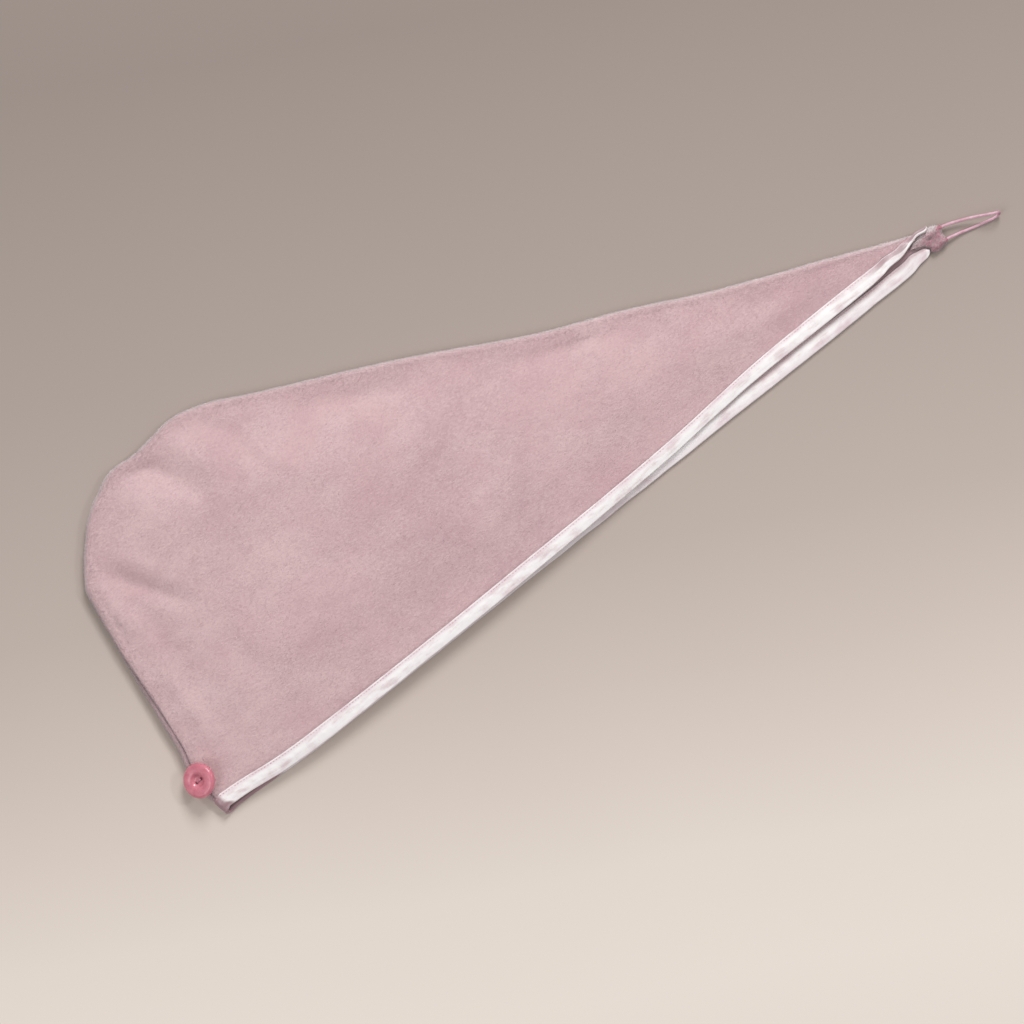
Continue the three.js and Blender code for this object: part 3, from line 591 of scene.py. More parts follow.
class Mouth:
    """Stations of the open edge: the binding's inner line, the lip, and ways out of and off the ply."""

    def __init__(self, upper_x, upper_angles, lower_angles, lower_x):
        parts = [upper_lip(upper_x), corner_lip(upper_angles), corner_lip(lower_angles), lower_lip(lower_x)]
        self.hem, self.lip = (np.vstack([p[k] for p in parts]) for k in range(2))
        self.run = np.concatenate([p[2] for p in parts])
        steps = unit(np.diff(self.lip, axis=0))
        ahead = unit(np.vstack([steps[:1], steps]) + np.vstack([steps, steps[-1:]]))
        self.out = unit(self.lip - self.hem)
        self.off = unit(np.cross(ahead, self.out))
        self.off = self.off * np.sign(self.off[0, 2])
        self.step = self.lip + self.out * (hem_step - self.run)[:, None]
        self.corner = len(upper_x) + len(upper_angles)


def crowded(steps):
    """Shares along the hood and the tail, closer together over the hood."""
    t = np.linspace(0, 1, steps + 1)
    return t * (0.68 + 0.32 * t)


upper_steps, upper_rows, roll_steps = 350, 96, 12
upper_x = corner_x + (upper_end - corner_x) * crowded(upper_steps)
lower_x = corner_x + (lower_tape_end - corner_x) * np.linspace(0, 1, 241) ** 1.4
upper_angles = np.linspace(90, corner.seam[0] + corner.gap[0], roll_steps + 1)
lower_angles = np.linspace(corner.seam[0] - corner.gap[0], -90, roll_steps + 3)
mouth = Mouth(upper_x[:0:-1], upper_angles, lower_angles, np.append(lower_x[1:], lower_end))


def strip(before, numbers, outwards):
    """Faces between two rows of points that lie beside each other."""
    quads = np.stack([before[:-1], before[1:], numbers[1:], numbers[:-1]], 1)
    return quads if outwards else quads[:, ::-1]


def nap_relief(x, y, z):
    """Lumps of the plush on the right side of the cloth, in mm."""
    return 0.12 * unevenness(x + 0.7 * z, y + 0.7 * z, 9, 11) + 0.1 * unevenness(x - z, y + z, 5.2, 12)


def sewn_field(side, end_run, bottom, rows, steps, height):
    """Points stretched between the rolled edge and the binding, and the stations of that edge."""
    nape = Stations(np.linspace(corner_run, nape_length, rows + 1))
    crown = Stations(nape_length + (end_run - nape_length) * crowded(steps))
    left, top = nape.roll(side * 90)[0], crown.roll(side * 90)[0]
    u = crowded(steps)[None, :, None]
    v = np.linspace(0, 1, rows + 1)[:, None, None]
    right = (1 - v) * bottom[-1] + v * top[-1]
    field = ((1 - u) * left[:, None] + u * right + (1 - v) * bottom[None] + v * top[None]
             - (1 - u) * ((1 - v) * left[0] + v * left[-1]) - u * right)
    field[..., 2] = height(field[..., 0], field[..., 1])
    field[:, 0] = left
    field[-1] = top
    return field, Stations(np.concatenate([nape.runs, crown.runs[1:]]))


class Cloth:
    """The middle of a ply's wall, grown from its field by rows of points; side is 1 above and -1 below."""

    def __init__(self, side, field, stations, relief):
        self.side, self.stations = side, stations
        self.numbers = numbers = np.arange(field.shape[0] * field.shape[1]).reshape(field.shape[:2])
        quads = [numbers[:-1, :-1], numbers[:-1, 1:], numbers[1:, 1:], numbers[1:, :-1]]
        quads = np.stack(quads, -1).reshape(-1, 4)
        self.quads = [quads if side > 0 else quads[:, [0, 3, 2, 1]]]
        self.middle = [field.reshape(-1, 3)]
        self.count = len(self.middle[0])
        self.normals = [np.full_like(self.middle[0], np.nan)]
        self.uv = [self.middle[0][:, :2]]
        self.from_seam = [np.full(self.count, far_from_seam)]
        self.relief = [np.full(self.count, relief)]
        roll_radius = (stations.depth + stations.half - ply_wall) / 2
        self.to_seam = np.radians(90 - side * stations.seam) * roll_radius

    def add_row(self, before, points, normals, uv, from_seam, relief, outwards):
        """Joins a row of points to the one before it, and gives its numbers."""
        row = self.count + np.arange(len(points))
        self.count += len(points)
        self.middle.append(points)
        self.normals.append(normals)
        self.uv.append(uv)
        self.from_seam.append(from_seam * np.ones(len(points)))
        self.relief.append(np.full(len(points), relief))
        self.quads.append(strip(before, row, outwards))
        return row

    def roll_up(self, steps):
        """The rolled edge from the field to the seam, puckered and drawn in; gives the hem's first row."""
        at, side = self.stations, self.side
        sewn = np.concatenate([self.numbers[:, 0], self.numbers[-1, 1:]])
        row, corner = sewn, [sewn[0]]
        pucker = 0.16 * unevenness(at.runs, 0, 6.5, 21) + 0.1 * unevenness(at.runs, 0, 3.1, 22)
        groove = 0.1 + 0.85 * on_nape(at.runs)
        for k in range(1, steps + 1):
            share = k / steps
            angle = side * 90 + (at.seam + side * at.gap - side * 90) * share
            left_over = self.to_seam * (1 - share)
            dip = groove * np.exp(-(left_over / 0.75) ** 2) + pucker * np.exp(-left_over / 3.5)
            points, _ = at.roll(angle, dip * ease(at.runs / 25))
            at_seam = k == steps
            normals = at.roll(angle)[1] if at_seam else np.full_like(points, np.nan)
            uv = self.uv[0][sewn] - at.inwards * (self.to_seam * share)[:, None]
            row = self.add_row(row, points, normals, uv, left_over, 0.0 if at_seam else 1.0, side > 0)
            corner.insert(0, row[0])
        return np.concatenate([corner, self.numbers[0, 1:]])

    def press_hem(self, before, lines, off):
        """The thin hem inside the binding, out to the cloth's raw edge."""
        for points in lines:
            before = self.add_row(before, points, off, points[:, :2], far_from_seam, 0.0, self.side < 0)
        self.hem_count = 2 * len(off)

    def thicken(self, name, deep=None):
        """A closed wall of cloth round this middle, with the plush's lumps on its right side; deep gives
        its inner face's painted shade.
        """
        middle, normal, uv, quads = (
            np.vstack(rows) for rows in (self.middle, self.normals, self.uv, self.quads))
        self.near, self.relief = np.concatenate(self.from_seam), np.concatenate(self.relief)
        self.quads = quads
        wall = np.full(self.count, ply_wall)
        wall[-self.hem_count:] = hem_wall
        runs = np.interp(middle[:, 1], nape_line[:, 1], run_of(nape_line))
        # Places further than this along the towel are never on the nape
        on_crown = 1 - on_nape(runs + 2 * nape_length * (middle[:, 0] > nape_reach))
        # Values for the painted shade near the nape's seam, moved clear of the crown, and for a painted
        # highlight on the crown's rim
        self.shade = (self.near + 8 * on_crown) / 1000
        self.on_rim = np.exp(-((self.near / 2.2) ** 2)) * on_crown
        a, b, c, d = (middle[quads[:, k]] for k in range(4))
        across = np.cross(c - a, d - b)
        sums = np.zeros_like(middle)
        for k in range(4):
            np.add.at(sums, quads[:, k], across)
        normal = np.where(np.isnan(normal), unit(sums), normal)
        lumps = nap_relief(*middle.T) * self.relief
        self.outer = middle + normal * (wall / 2 + lumps)[:, None]
        self.outer[:, 2] = np.maximum(self.outer[:, 2], lowest)
        inner = middle - normal * (wall / 2)[:, None]
        edges = np.vstack([quads[:, [k, (k + 1) % 4]] for k in range(4)])
        codes = edges[:, 0] * self.count + edges[:, 1]
        rim = edges[~np.isin(codes, edges[:, 1] * self.count + edges[:, 0])]
        sides = np.stack([rim[:, 1], rim[:, 0], rim[:, 0] + self.count, rim[:, 1] + self.count], 1)
        faces = np.vstack([quads, quads[:, ::-1] + self.count, sides])
        inside = self.shade if deep is None else deep(middle[:, 0])
        return make_mesh(name, np.vstack([self.outer, inner]) / 1000 + nape_corner, faces,
                         uv=np.vstack([uv, uv]) / 1000,
                         values={"from_seam": np.concatenate([self.shade, inside]),
                                 "on_rim": np.concatenate([self.on_rim, 0 * self.on_rim])})


def nap(name, outer, quads, likely, values, count, seed, upwards=False):
    """Fine tufts that stand off the right side of the cloth, thickest where it rolls away from the eye."""
    chance = np.random.default_rng(seed)
    a, b, c, d = (outer[quads[:, k]] for k in range(4))
    across = np.cross(c - a, d - b)
    share = np.linalg.norm(across, axis=1) * likely * ((across[:, 2] > 0) if upwards else 1)
    pick = chance.choice(len(quads), count, p=share / share.sum())
    s, t = chance.random((2, count, 1))
    root = (a[pick] * (1 - s) + b[pick] * s) * (1 - t) + (d[pick] * (1 - s) + c[pick] * s) * t
    upright = unit(across[pick])
    lean = chance.normal(0, tuft_lean, (count, 3))
    height = tuft_height + tuft_taller * chance.random((count, 1))
    tip = root + unit(upright + lean) * height
    side = unit(np.cross(upright, chance.normal(0, 1, (count, 3))))
    fore = np.cross(upright, side)
    wide = tuft_wide + tuft_wider * chance.random((count, 1))
    feet = [root - 0.15 * upright + wide * (side * math.cos(q) + fore * math.sin(q))
            for q in (0, 2.094, 4.189)]
    points = np.stack([*feet, tip], 1).reshape(-1, 3)
    points[:, 2] = np.maximum(points[:, 2], lowest)
    first = 4 * np.arange(count)[:, None, None]
    faces = (first + np.array([[0, 1, 3], [1, 2, 3], [2, 0, 3], [0, 2, 1]])).reshape(-1, 3)
    values = {key: np.repeat(value[quads[pick, 0]], 4) for key, value in values.items()}
    uv = points[:, :2] / 1000
    piece = make_mesh(name, points / 1000 + nape_corner, np.zeros((0, 4)), faces, uv, values)
    piece.data.normals_split_custom_set_from_vertices(np.repeat(unit(upright + 0.35 * lean), 4, axis=0))
    piece.data.materials.append(nap_fibre)
    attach(piece, "root")
    return piece


def mesh_value(start, name):
    """One of the mesh's named values."""
    return start.node("Attribute", {"attribute_name": name}, output=2)


def strands_of(turn, long, scale, detail=3.0, rough=0.6):
    """Noise drawn out in one direction across the cloth, like combed fibres."""
    combed = where.node("Mapping", values={
        "Vector": where, "Rotation": (0, 0, math.radians(turn)), "Scale": (1 / long, 1.0, 1.0)})
    return noise(combed, scale, detail, Roughness=rough, Distortion=0.3)


# Towelling: short plush brushed in patches, with painted shade between its tufts and painted light on their
# tips
towelling, start = new_material("towelling")
where = start.node("TexCoord", output=3)
swirl = noise(where, 60.0).between(0.4, 0.6)
fibre_a, fibre_b = strands_of(-35, 2.0, 760.0), strands_of(30, 2.0, 760.0)
fibre = fibre_a * swirl + fibre_b * (1 - swirl)
tips = noise(where, 1900.0)
brushed = strands_of(-28, 1.7, 85.0, 5.0, 0.55)
crossed = strands_of(55, 2.0, 48.0, 4.0, 0.5)
patches = noise(where, 15.0, 3.0, Roughness=0.5, Distortion=0.4)
along = split(where)[0]
# Painted light falloff along the towel: lighter at the nape end and darker towards the tail.
painted_falloff = along.between(0.1, 0.3) * 0.2 - along.between(-0.3, -0.1, 0.09, 0.0)
# Its tone follows the pile's relief and brushing: painted shade in the hollows, painted light and sheen on
# tips and brushed patches
tone = fibre * 1.2 + tips * 0.85 + brushed * 0.4 + crossed * 0.4 + patches * 0.8 - painted_falloff
pile_colour = tone.between(1.395, 2.255).mix((0.52, 0.34, 0.366), (0.70, 0.505, 0.515))
flush = noise(where, 26.0).between(0.42, 0.68)
pile_colour = (flush * 0.3).mix(pile_colour, (0.60, 0.375, 0.40))
# Painted shade in the seam's groove, inside the lower ply in the tail and over the tail's pad, read from
# the from_seam values
seam_shade = mesh_value(start, "from_seam").between(0.0, 0.0022, 1.0, 0.0)
pile_colour = (seam_shade * 0.85).mix(pile_colour, (0.25, 0.17, 0.19))
# Painted highlight on the pale fuzzy rim of the crown and of the tail's pad
pile_colour = (mesh_value(start, "on_rim") * 0.7).mix(pile_colour, (0.86, 0.74, 0.75))
height = fibre * 1.4 + tips * 0.7 + brushed * 0.5 + crossed * 0.3
finish_material(start, {"Roughness": 0.95, "Specular IOR Level": 0.12, "Sheen Weight": 0.6,
                        "Sheen Roughness": 0.5, "Sheen Tint": (1.0, 0.9, 0.91, 1)},
                {"Base Color": pile_colour, "Normal": bump(height, 0.55, 0.0006)})

nap_fibre, start = new_material("nap_fibre")
pale = noise(start.node("TexCoord", output=3), 700.0).between(0.3, 0.7)
tip_colour = pale.mix((0.60, 0.43, 0.455), (0.82, 0.66, 0.675))
# Painted shade near the seam on the tufts too
seam_shade = mesh_value(start, "from_seam").between(0.0, 0.0022, 1.0, 0.0)
tip_colour = (seam_shade * 0.7).mix(tip_colour, (0.36, 0.26, 0.28))
# Painted highlight on the tufts along the rim
tip_colour = (mesh_value(start, "on_rim") * 0.8).mix(tip_colour, (0.95, 0.86, 0.87))
finish_material(start, {"Roughness": 1.0, "Specular IOR Level": 0.1, "Sheen Weight": 0.8,
                        "Sheen Roughness": 0.5, "Sheen Tint": (1.0, 0.93, 0.94, 1)},
                {"Base Color": tip_colour, "Normal": bump(pale, 0.2, 0.0002)})

field, stations = sewn_field(1, upper_end_run, upper_lip(upper_x)[0], upper_rows, upper_steps, ply_height)
cloth = Cloth(1, field, stations, 1.0)
x, y = cloth.middle[0][:, :2].T
cloth.from_seam[0] = (distance_to(stations.roll(90)[0][::3], x, y)
                      + np.interp(x, stations.place[:, 0], cloth.to_seam))
hem_start = cloth.roll_up(roll_steps)
upper_mouth = slice(mouth.corner - 1, None, -1)
cloth.press_hem(hem_start, (mouth.step[upper_mouth], mouth.lip[upper_mouth]), mouth.off[upper_mouth])
upper_ply = cloth.thicken("upper_ply")
upper_ply.data.materials.append(towelling)
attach(upper_ply, "root")
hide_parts("front_panel")
near = cloth.near[cloth.quads[:, 0]]
likely = 0.2 + 2.6 * np.exp(-(near / 9) ** 2) + 1.0 * (near < cloth.to_seam.max())
upper_nap = nap("upper_nap", cloth.outer, cloth.quads, likely * (cloth.relief[cloth.quads].min(1) > 0),
                {"from_seam": cloth.shade, "on_rim": cloth.on_rim}, 47000, 51, upwards=True)

# Lower ply
# The same cloth cut the other way round. It lies flat on the table, and its sewn edge rolls up over the
# upper ply's edge along the nape, where the seam shows on top.
lower_steps, lower_rows = 300, 74
bottom_x = corner_x + (lower_end - corner_x) * crowded(lower_steps)
bottom = lower_lip(bottom_x)[0]
field, stations = sewn_field(-1, sewn_runs[-1], bottom, lower_rows, lower_steps, lambda x, y: ply_wall / 2)
x, y = field[..., 0], field[..., 1]
inside = ease(distance_to(np.vstack([field[:, 0], field[-1, 1:]]), x, y) / 14)
inside = inside * ease((y - np.interp(x, bottom[:, 0], bottom[:, 1])) / 12)
hollow = np.clip(0.5 * unevenness(x, y, 60, 31) + 0.35 * unevenness(x, y, 24, 32) + 0.25, 0, 1)
field[..., 2] += 0.9 * hollow * inside
cloth = Cloth(-1, field, stations, 0.5)
hem_start = cloth.roll_up(roll_steps + 2)
whole_mouth = Mouth(upper_x[:0:-1], upper_angles, lower_angles, bottom_x[1:])
lower_mouth = slice(whole_mouth.corner, None)
cloth.press_hem(hem_start, (whole_mouth.step[lower_mouth], whole_mouth.lip[lower_mouth]),
                whole_mouth.off[lower_mouth])
# Its right side inside the tail is in shade, as a seam is
lower_ply = cloth.thicken("lower_ply", lambda x: 0.0006 + 0.03 * (1 - ease((x - 440) / 120)))
lower_ply.data.materials.append(towelling)
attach(lower_ply, "root")
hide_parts("back_panel")
likely = (cloth.near[cloth.quads[:, 0]] < cloth.to_seam.max() + 1) * (cloth.relief[cloth.quads].min(1) > 0)
lower_nap = nap("lower_nap", cloth.outer, cloth.quads, likely,
                {"from_seam": cloth.shade, "on_rim": cloth.on_rim}, 26000, 52)

# Satin binding
# One satin tape, folded over the raw open edge of both plies and stitched down through all layers. It
# runs from the tail along the upper ply, round the nape corner and back along the lower ply.
tape_thick = 0.45
tape_off = hem_wall / 2 + 0.35 + tape_thick
fold_out = 1.3
tape_x = corner_x + (upper_tape_end - corner_x) * crowded(520)
tape_mouth = Mouth(tape_x[:0:-1], np.linspace(90, -90, 27), np.zeros(0),
                   corner_x + (lower_tape_end - corner_x) * np.linspace(0, 1, 480)[1:] ** 1.15)
tape_runs = run_of(tape_mouth.lip)
tape_reach = tape_mouth.run - hem_step + 0.25
# Lines along the tape: share of the way to the fold, which side of the cloth, and turn round the fold
across_share = np.concatenate([np.linspace(0, 1, 14), np.ones(9), np.linspace(1, 0, 14)])
across_side = np.concatenate([np.ones(14), np.zeros(9), -np.ones(14)])
across_turn = np.radians(np.concatenate([np.zeros(14), np.linspace(90, -90, 11)[1:-1], np.zeros(14)]))
pulled = 0.5 * unevenness(tape_runs, 0, 7.5, 41) + 0.5 * unevenness(tape_runs, 0, 3.6, 42)
drift = unevenness(tape_runs, 0, 19, 43)
from_ends = np.minimum(tape_runs / 4, (tape_runs[-1] - tape_runs) / 6)
rounded = np.sqrt(1 - (1 - np.clip(from_ends, 0, 1)) ** 2).clip(0.15)
upper_count = len(tape_x) - 1
by_corner = np.exp(-(((tape_runs - tape_runs[upper_count + 20]) / 4) ** 2))
on_upper = (np.arange(len(tape_runs)) < upper_count + 13)[:, None]


def tape_outline(share, side, turn):
    """Distances out of the mouth and off the ply of a line along the tape's outer face."""
    flat = side != 0
    out = np.where(flat, -tape_reach + (tape_reach + 0.35) * share, 0.35 + 0.95 * np.cos(turn))
    out = out + 0.25 * drift * (share > 0.5) + 0.9 * by_corner * share * (side <= 0)
    seat = 0.25 * np.exp(-share * 14) + 0.3 * np.exp(-(((share * tape_reach - 1.5) / 0.6) ** 2))
    crown = 0.5 * np.sin(np.pi * min(share * 1.05, 1)) - 0.25 * share**3 - seat
    bulge = np.sin(np.pi * share) ** 0.7 if 0 < share < 1 else 0.0
    creased = unevenness(tape_runs + 9 * share, share * 11 + 5 * side, 2.6, 44)
    crown = crown + bulge * (0.26 * pulled + 0.1 * creased - 0.35 * by_corner)
    off = np.where(flat, side * (tape_off + crown), (tape_off - 0.25) * np.sin(turn))
    middle = (fold_out - tape_reach) / 2
    return middle + (out - middle) * rounded, off


outline = [tape_outline(*spot) for spot in zip(across_share, across_side, across_turn)]
out, off = (np.stack([spot[k] for spot in outline], 1) for k in range(2))
in_out = out - tape_thick * (across_side == 0) * np.cos(across_turn)
in_off = off - tape_thick * np.where(across_side == 0, np.sin(across_turn), across_side)
whole_out = np.hstack([out, in_out[:, ::-1]])[..., None]
whole_off = np.hstack([off, in_off[:, ::-1]])[..., None]
positions = (tape_mouth.lip[:, None] + tape_mouth.out[:, None] * whole_out
             + tape_mouth.off[:, None] * whole_off)
positions = positions.reshape(-1, 3)
positions[:, 2] = np.maximum(positions[:, 2], lowest)
steps = np.hypot(np.diff(out, axis=1), np.diff(off, axis=1))
width = np.hstack([np.zeros((len(out), 1)), np.cumsum(steps, 1)])
width = np.hstack([width, width[:, ::-1]])
tape_uv = np.stack(np.broadcast_arrays(tape_runs[:, None], width), -1).reshape(-1, 2)
ring_size = whole_out.shape[1]
cap = np.array([[a, a + 1, ring_size - 2 - a, ring_size - 1 - a] for a in range(ring_size // 2 - 1)])
quads = np.vstack([ring_faces(len(tape_runs), ring_size)[:, [0, 3, 2, 1]], cap,
                   cap[:, ::-1] + (len(tape_runs) - 1) * ring_size])

# Where the satin turns away from the light: round the nape corner, in the slot and gap under the upper
# tape, and along its inner edge in the tail
tape_place = np.repeat(tape_mouth.lip[:, :1], ring_size, 1)
share, side = (np.tile(np.concatenate([a, a[::-1]]), (len(tape_runs), 1))
               for a in (across_share, across_side))
at_corner = ease((8 + 4 * ease((share - 0.6) / 0.4) - tape_place) / 5)
at_corner = at_corner * (1 - 0.25 * ease((share - 0.88) / 0.1) * ease((tape_place - 1.5) / 2))
in_slot = ease((54 - tape_place) / 14) * (1.6 - 0.6 * ease((share - 0.86) / 0.08))
in_gap = 0.62 * (1 - ease((share - 0.15) / 0.5)) * ease((tape_place - 200) / 60)
shaded_to = 0.42 + 0.4 * ease((tape_place - 612) / 14)
at_tail = (0.3 + 0.42 * ease((tape_place - 588) / 16)) * ease((tape_place - 540) / 50)
at_tail = at_tail * (1 - ease((share - shaded_to) / 0.2)) * ease((share + 0.02) / 0.12)
on_upper_tape, on_lower_tape = np.maximum(at_corner, at_tail), np.maximum(in_slot, in_gap)
# Painted shade on the satin, one value per point
dull = np.where(on_upper, on_upper_tape * (side >= 0), on_lower_tape * (side <= 0))


def along_weave(scale, detail=2.0, **more):
    """Noise with its own scale along the tape and across it."""
    scaled = place.node("Mapping", values={"Vector": place, "Scale": (*scale, 1.0)})
    return noise(scaled, 1.0, detail, **more)


satin, start = new_material("satin")
place = start.node("UVMap", {"uv_map": "cloth"})
along_tape, across_tape = split(place)
floats = sine(along_tape * 9000 + across_tape * 17000)
cloudy = along_weave((90.0, 420.0), 4.0, Roughness=0.6)
slubs = along_weave((2600.0, 300.0))
pucker_light = along_weave((55.0, 160.0))
# Painted light and shade of the tape's puckers: nearly white puffs and pinker hollows, with slubs of the
# weave
satin_colour = (cloudy * 0.35 + slubs * 0.15 + pucker_light * 0.6).between(0.38, 0.6)
satin_colour = satin_colour.mix((0.79, 0.65, 0.68), (1.0, 0.975, 0.975))
# Painted shade along the stitched inner edge, where the tape dips to its seat
shade_by_stitches = across_tape.between(0.0003, 0.0008) - across_tape.between(0.0018, 0.0042)
satin_colour = (shade_by_stitches * 0.55).mix(satin_colour, (0.72, 0.575, 0.62))
# Painted shade and painted pink reflection towards the fold, where the tape curves away over the lip
shade_to_fold = across_tape.between(0.0092, 0.0122) - across_tape.between(0.0145, 0.02)
satin_colour = (shade_to_fold * 0.4).mix(satin_colour, (0.72, 0.58, 0.63))
# Painted shade where the satin turns away from the light, darkest in the slot under the upper tape
turned_away = mesh_value(start, "dull")
in_shade = (turned_away * (0.75 + cloudy * 0.35)).between(0.0, 1.0)
satin_colour = in_shade.mix(satin_colour, (0.35, 0.205, 0.23))
satin_colour = turned_away.between(1.0, 1.6).mix(satin_colour, (0.17, 0.09, 0.095))
satin_bump = bump(cloudy * 1.0 + slubs * 0.25 + floats * 0.05, 0.35, 0.0004)
finish_material(start, {"Roughness": 0.32, "Specular IOR Level": 0.8, "Sheen Weight": 0.25,
                        "Sheen Roughness": 0.3, "Sheen Tint": (1, 0.93, 0.96, 1)},
                {"Base Color": satin_colour, "Normal": satin_bump})
binding = make_mesh("binding", positions / 1000 + nape_corner, quads, uv=tape_uv / 1000,
                    values={"dull": dull.ravel()})
binding.data.materials.append(satin)
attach(binding, "root")
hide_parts("satin_binding")

# Stitching of the binding
# One row of straight machine stitches in pink thread, through the tape and both its edges, on its upper
# and its under face alike.
stitch_pitch = 2.5
stitch_long = 1.75
stitch_thick = 0.42
stitch_inset = 1.45
stitch_sunk = 0.27
narrowest_tape = 1.6
thread_lowest = 0.03


def thread_pieces(name, paths, radius, sides=6, twist=0.0):
    """Short pieces of thread, each a tube along its own path in mm, made as one mesh."""
    parts, count = [], 0
    for path in paths:
        points, quads, caps, uv = tube(np.asarray(path, float), radius, sides,
                                       lambda run, turn: twist * np.sin(turn * 3 - run * 9))
        parts.append((points, quads + count, caps + count, uv))
        count += len(points)
    points, quads, caps, uv = (np.vstack(kind) for kind in zip(*parts))
    points[:, 2] = np.maximum(points[:, 2], thread_lowest)
    piece = make_mesh(name, points / 1000 + nape_corner, quads, caps, uv / 1000)
    piece.data.materials.append(sewing_thread)
    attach(piece, "root")
    return piece


sewing_thread, start = new_material("sewing_thread")
along_thread, round_thread = split(start.node("UVMap", {"uv_map": "cloth"}))
ply_twist = sine(along_thread * 9000 + round_thread * 9000)
fuzz = noise(start.node("TexCoord", output=3), 900.0)
thread_colour = (ply_twist * 0.25 + fuzz).between(0.2, 0.8).mix((0.5, 0.15, 0.235), (0.83, 0.42, 0.5))
finish_material(start, {"Roughness": 0.5, "Sheen Weight": 0.2, "Sheen Roughness": 0.4},
                {"Base Color": thread_colour, "Normal": bump(ply_twist, 0.5, 0.0001)})
chance = np.random.default_rng(61)
stitch_rows = []
wide_enough = tape_reach > narrowest_tape
for side in (1, -1):
    away_line = tape_mouth.off * side
    line = tape_mouth.lip + tape_mouth.out * (stitch_inset - tape_reach)[:, None]
    line = line + away_line * (tape_off - stitch_sunk)
    line, away_line = line[wide_enough], away_line[wide_enough]
    runs = run_of(line)
    for begin in np.arange(3, runs[-1] - 3, stitch_pitch):
        begin = begin + chance.uniform(-0.15, 0.15)
        spots = begin + np.array([0, 0.18, 0.5, 0.82, 1.0]) * stitch_long
        away = read_at(spots, runs, away_line)
        stitch_rows.append(at_runs(line, spots) + away * np.array([-0.3, 0.05, 0.16, 0.05, -0.3])[:, None])
binding_stitches = thread_pieces("binding_stitches", stitch_rows, stitch_thick / 2)

# End of the tail
# The narrow end of the upper ply is folded down over both ends of the elastic and sewn to the lower ply
# with pink thread, untidily, so that it makes a small pad of towelling between the tape's two ends, in
# painted shade.
pad_centre = np.array([643.0, 8.0])
pad_floor = 2.62
pad_rings = 33
legs_y = (12.0, 2.6)
tack_radius = 0.2
pad_rim = np.array([
    (638.0, 0.3), (638.6, 4.6), (635.5, 7.8), (630.0, 10.0), (625.5, 12.0), (629.0, 13.6), (636.0, 15.6),
    (641.0, 15.6), (645.0, 16.6), (648.6, 15.6), (651.9, 13.6), (652.4, 10.6), (651.2, 7.4), (651.0, 4.6),
    (651.6, 2.4), (650.4, 0.5), (644.5, -0.2),
])
rim_bearings = np.arctan2(*(pad_rim - pad_centre).T[::-1])
order = np.argsort(rim_bearings)
rim_bearings, rim_reach = rim_bearings[order], np.linalg.norm(pad_rim - pad_centre, axis=1)[order]


def pad_share(x, y):
    """0 at the pad's centre and 1 on its rim."""
    x, y = x - pad_centre[0], y - pad_centre[1]
    return np.hypot(x, y) / np.interp(np.arctan2(y, x), rim_bearings, rim_reach, period=2 * np.pi)


def pad_height(x, y):
    """Top of the pad, raised over the two ends of the elastic."""
    share = np.clip(pad_share(x, y), 0, 1)
    legs = sum(np.exp(-(((y - leg) / 1.9) ** 2)) for leg in legs_y)
    lumps = 0.35 * unevenness(x, y, 3.1, 71) + 0.2 * unevenness(x, y, 1.5, 72)
    return 2.7 + (2.1 + 1.25 * legs * ease((x - 638) / 5) + lumps) * (1 - share**4) ** 0.6


bearing = np.linspace(-np.pi, np.pi, 168, endpoint=False)[None]
share = np.sin(np.linspace(0, np.pi / 2, pad_rings + 1))[1:, None]
rim = np.interp(bearing, rim_bearings, rim_reach, period=2 * np.pi)
rim = rim + 0.3 * unevenness(bearing * 9, 0, 1, 73)
x, y = pad_centre[0] + share * rim * np.cos(bearing), pad_centre[1] + share * rim * np.sin(bearing)
over = np.stack([x, y, pad_height(x, y)], -1)
under = over[::-1][1:].copy()
under[..., 2] = pad_floor
ring = over.shape[1]
rows = np.vstack([over.reshape(-1, 3), under.reshape(-1, 3)])
points = np.vstack([rows, [(*pad_centre, float(pad_height(*pad_centre)))], [(*pad_centre, pad_floor)]])
quads = ring_faces(len(rows) // ring, ring)
# Painted shade over the pad, less of it towards its top edge
at_top = ease((points[:, 1] - 12.5) / 3)
tail_end = make_mesh("tail_end", points / 1000 + nape_corner, quads, end_fans(len(rows), ring),
                     points[:, :2] / 1000, {"from_seam": 0.0011 + 0.01 * at_top})
tail_end.data.materials.append(towelling)
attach(tail_end, "root")
pad_quads = quads[:(pad_rings - 1) * ring, ::-1]
# Painted highlight along the pad's fuzzy top edge
at_top = ease((points[:, 1] - 11.5) / 3)
tail_nap = nap("tail_nap", points, pad_quads, 1 + 2 * at_top[pad_quads[:, 0]],
               {"from_seam": 0.0013 + 0.03 * at_top, "on_rim": at_top}, 4200, 74, upwards=True)


def on_pad(x, y, lift):
    """A place on the pad's top, or on the cloth beside it."""
    return x, y, float(max(pad_height(x, y), 2.7)) + lift


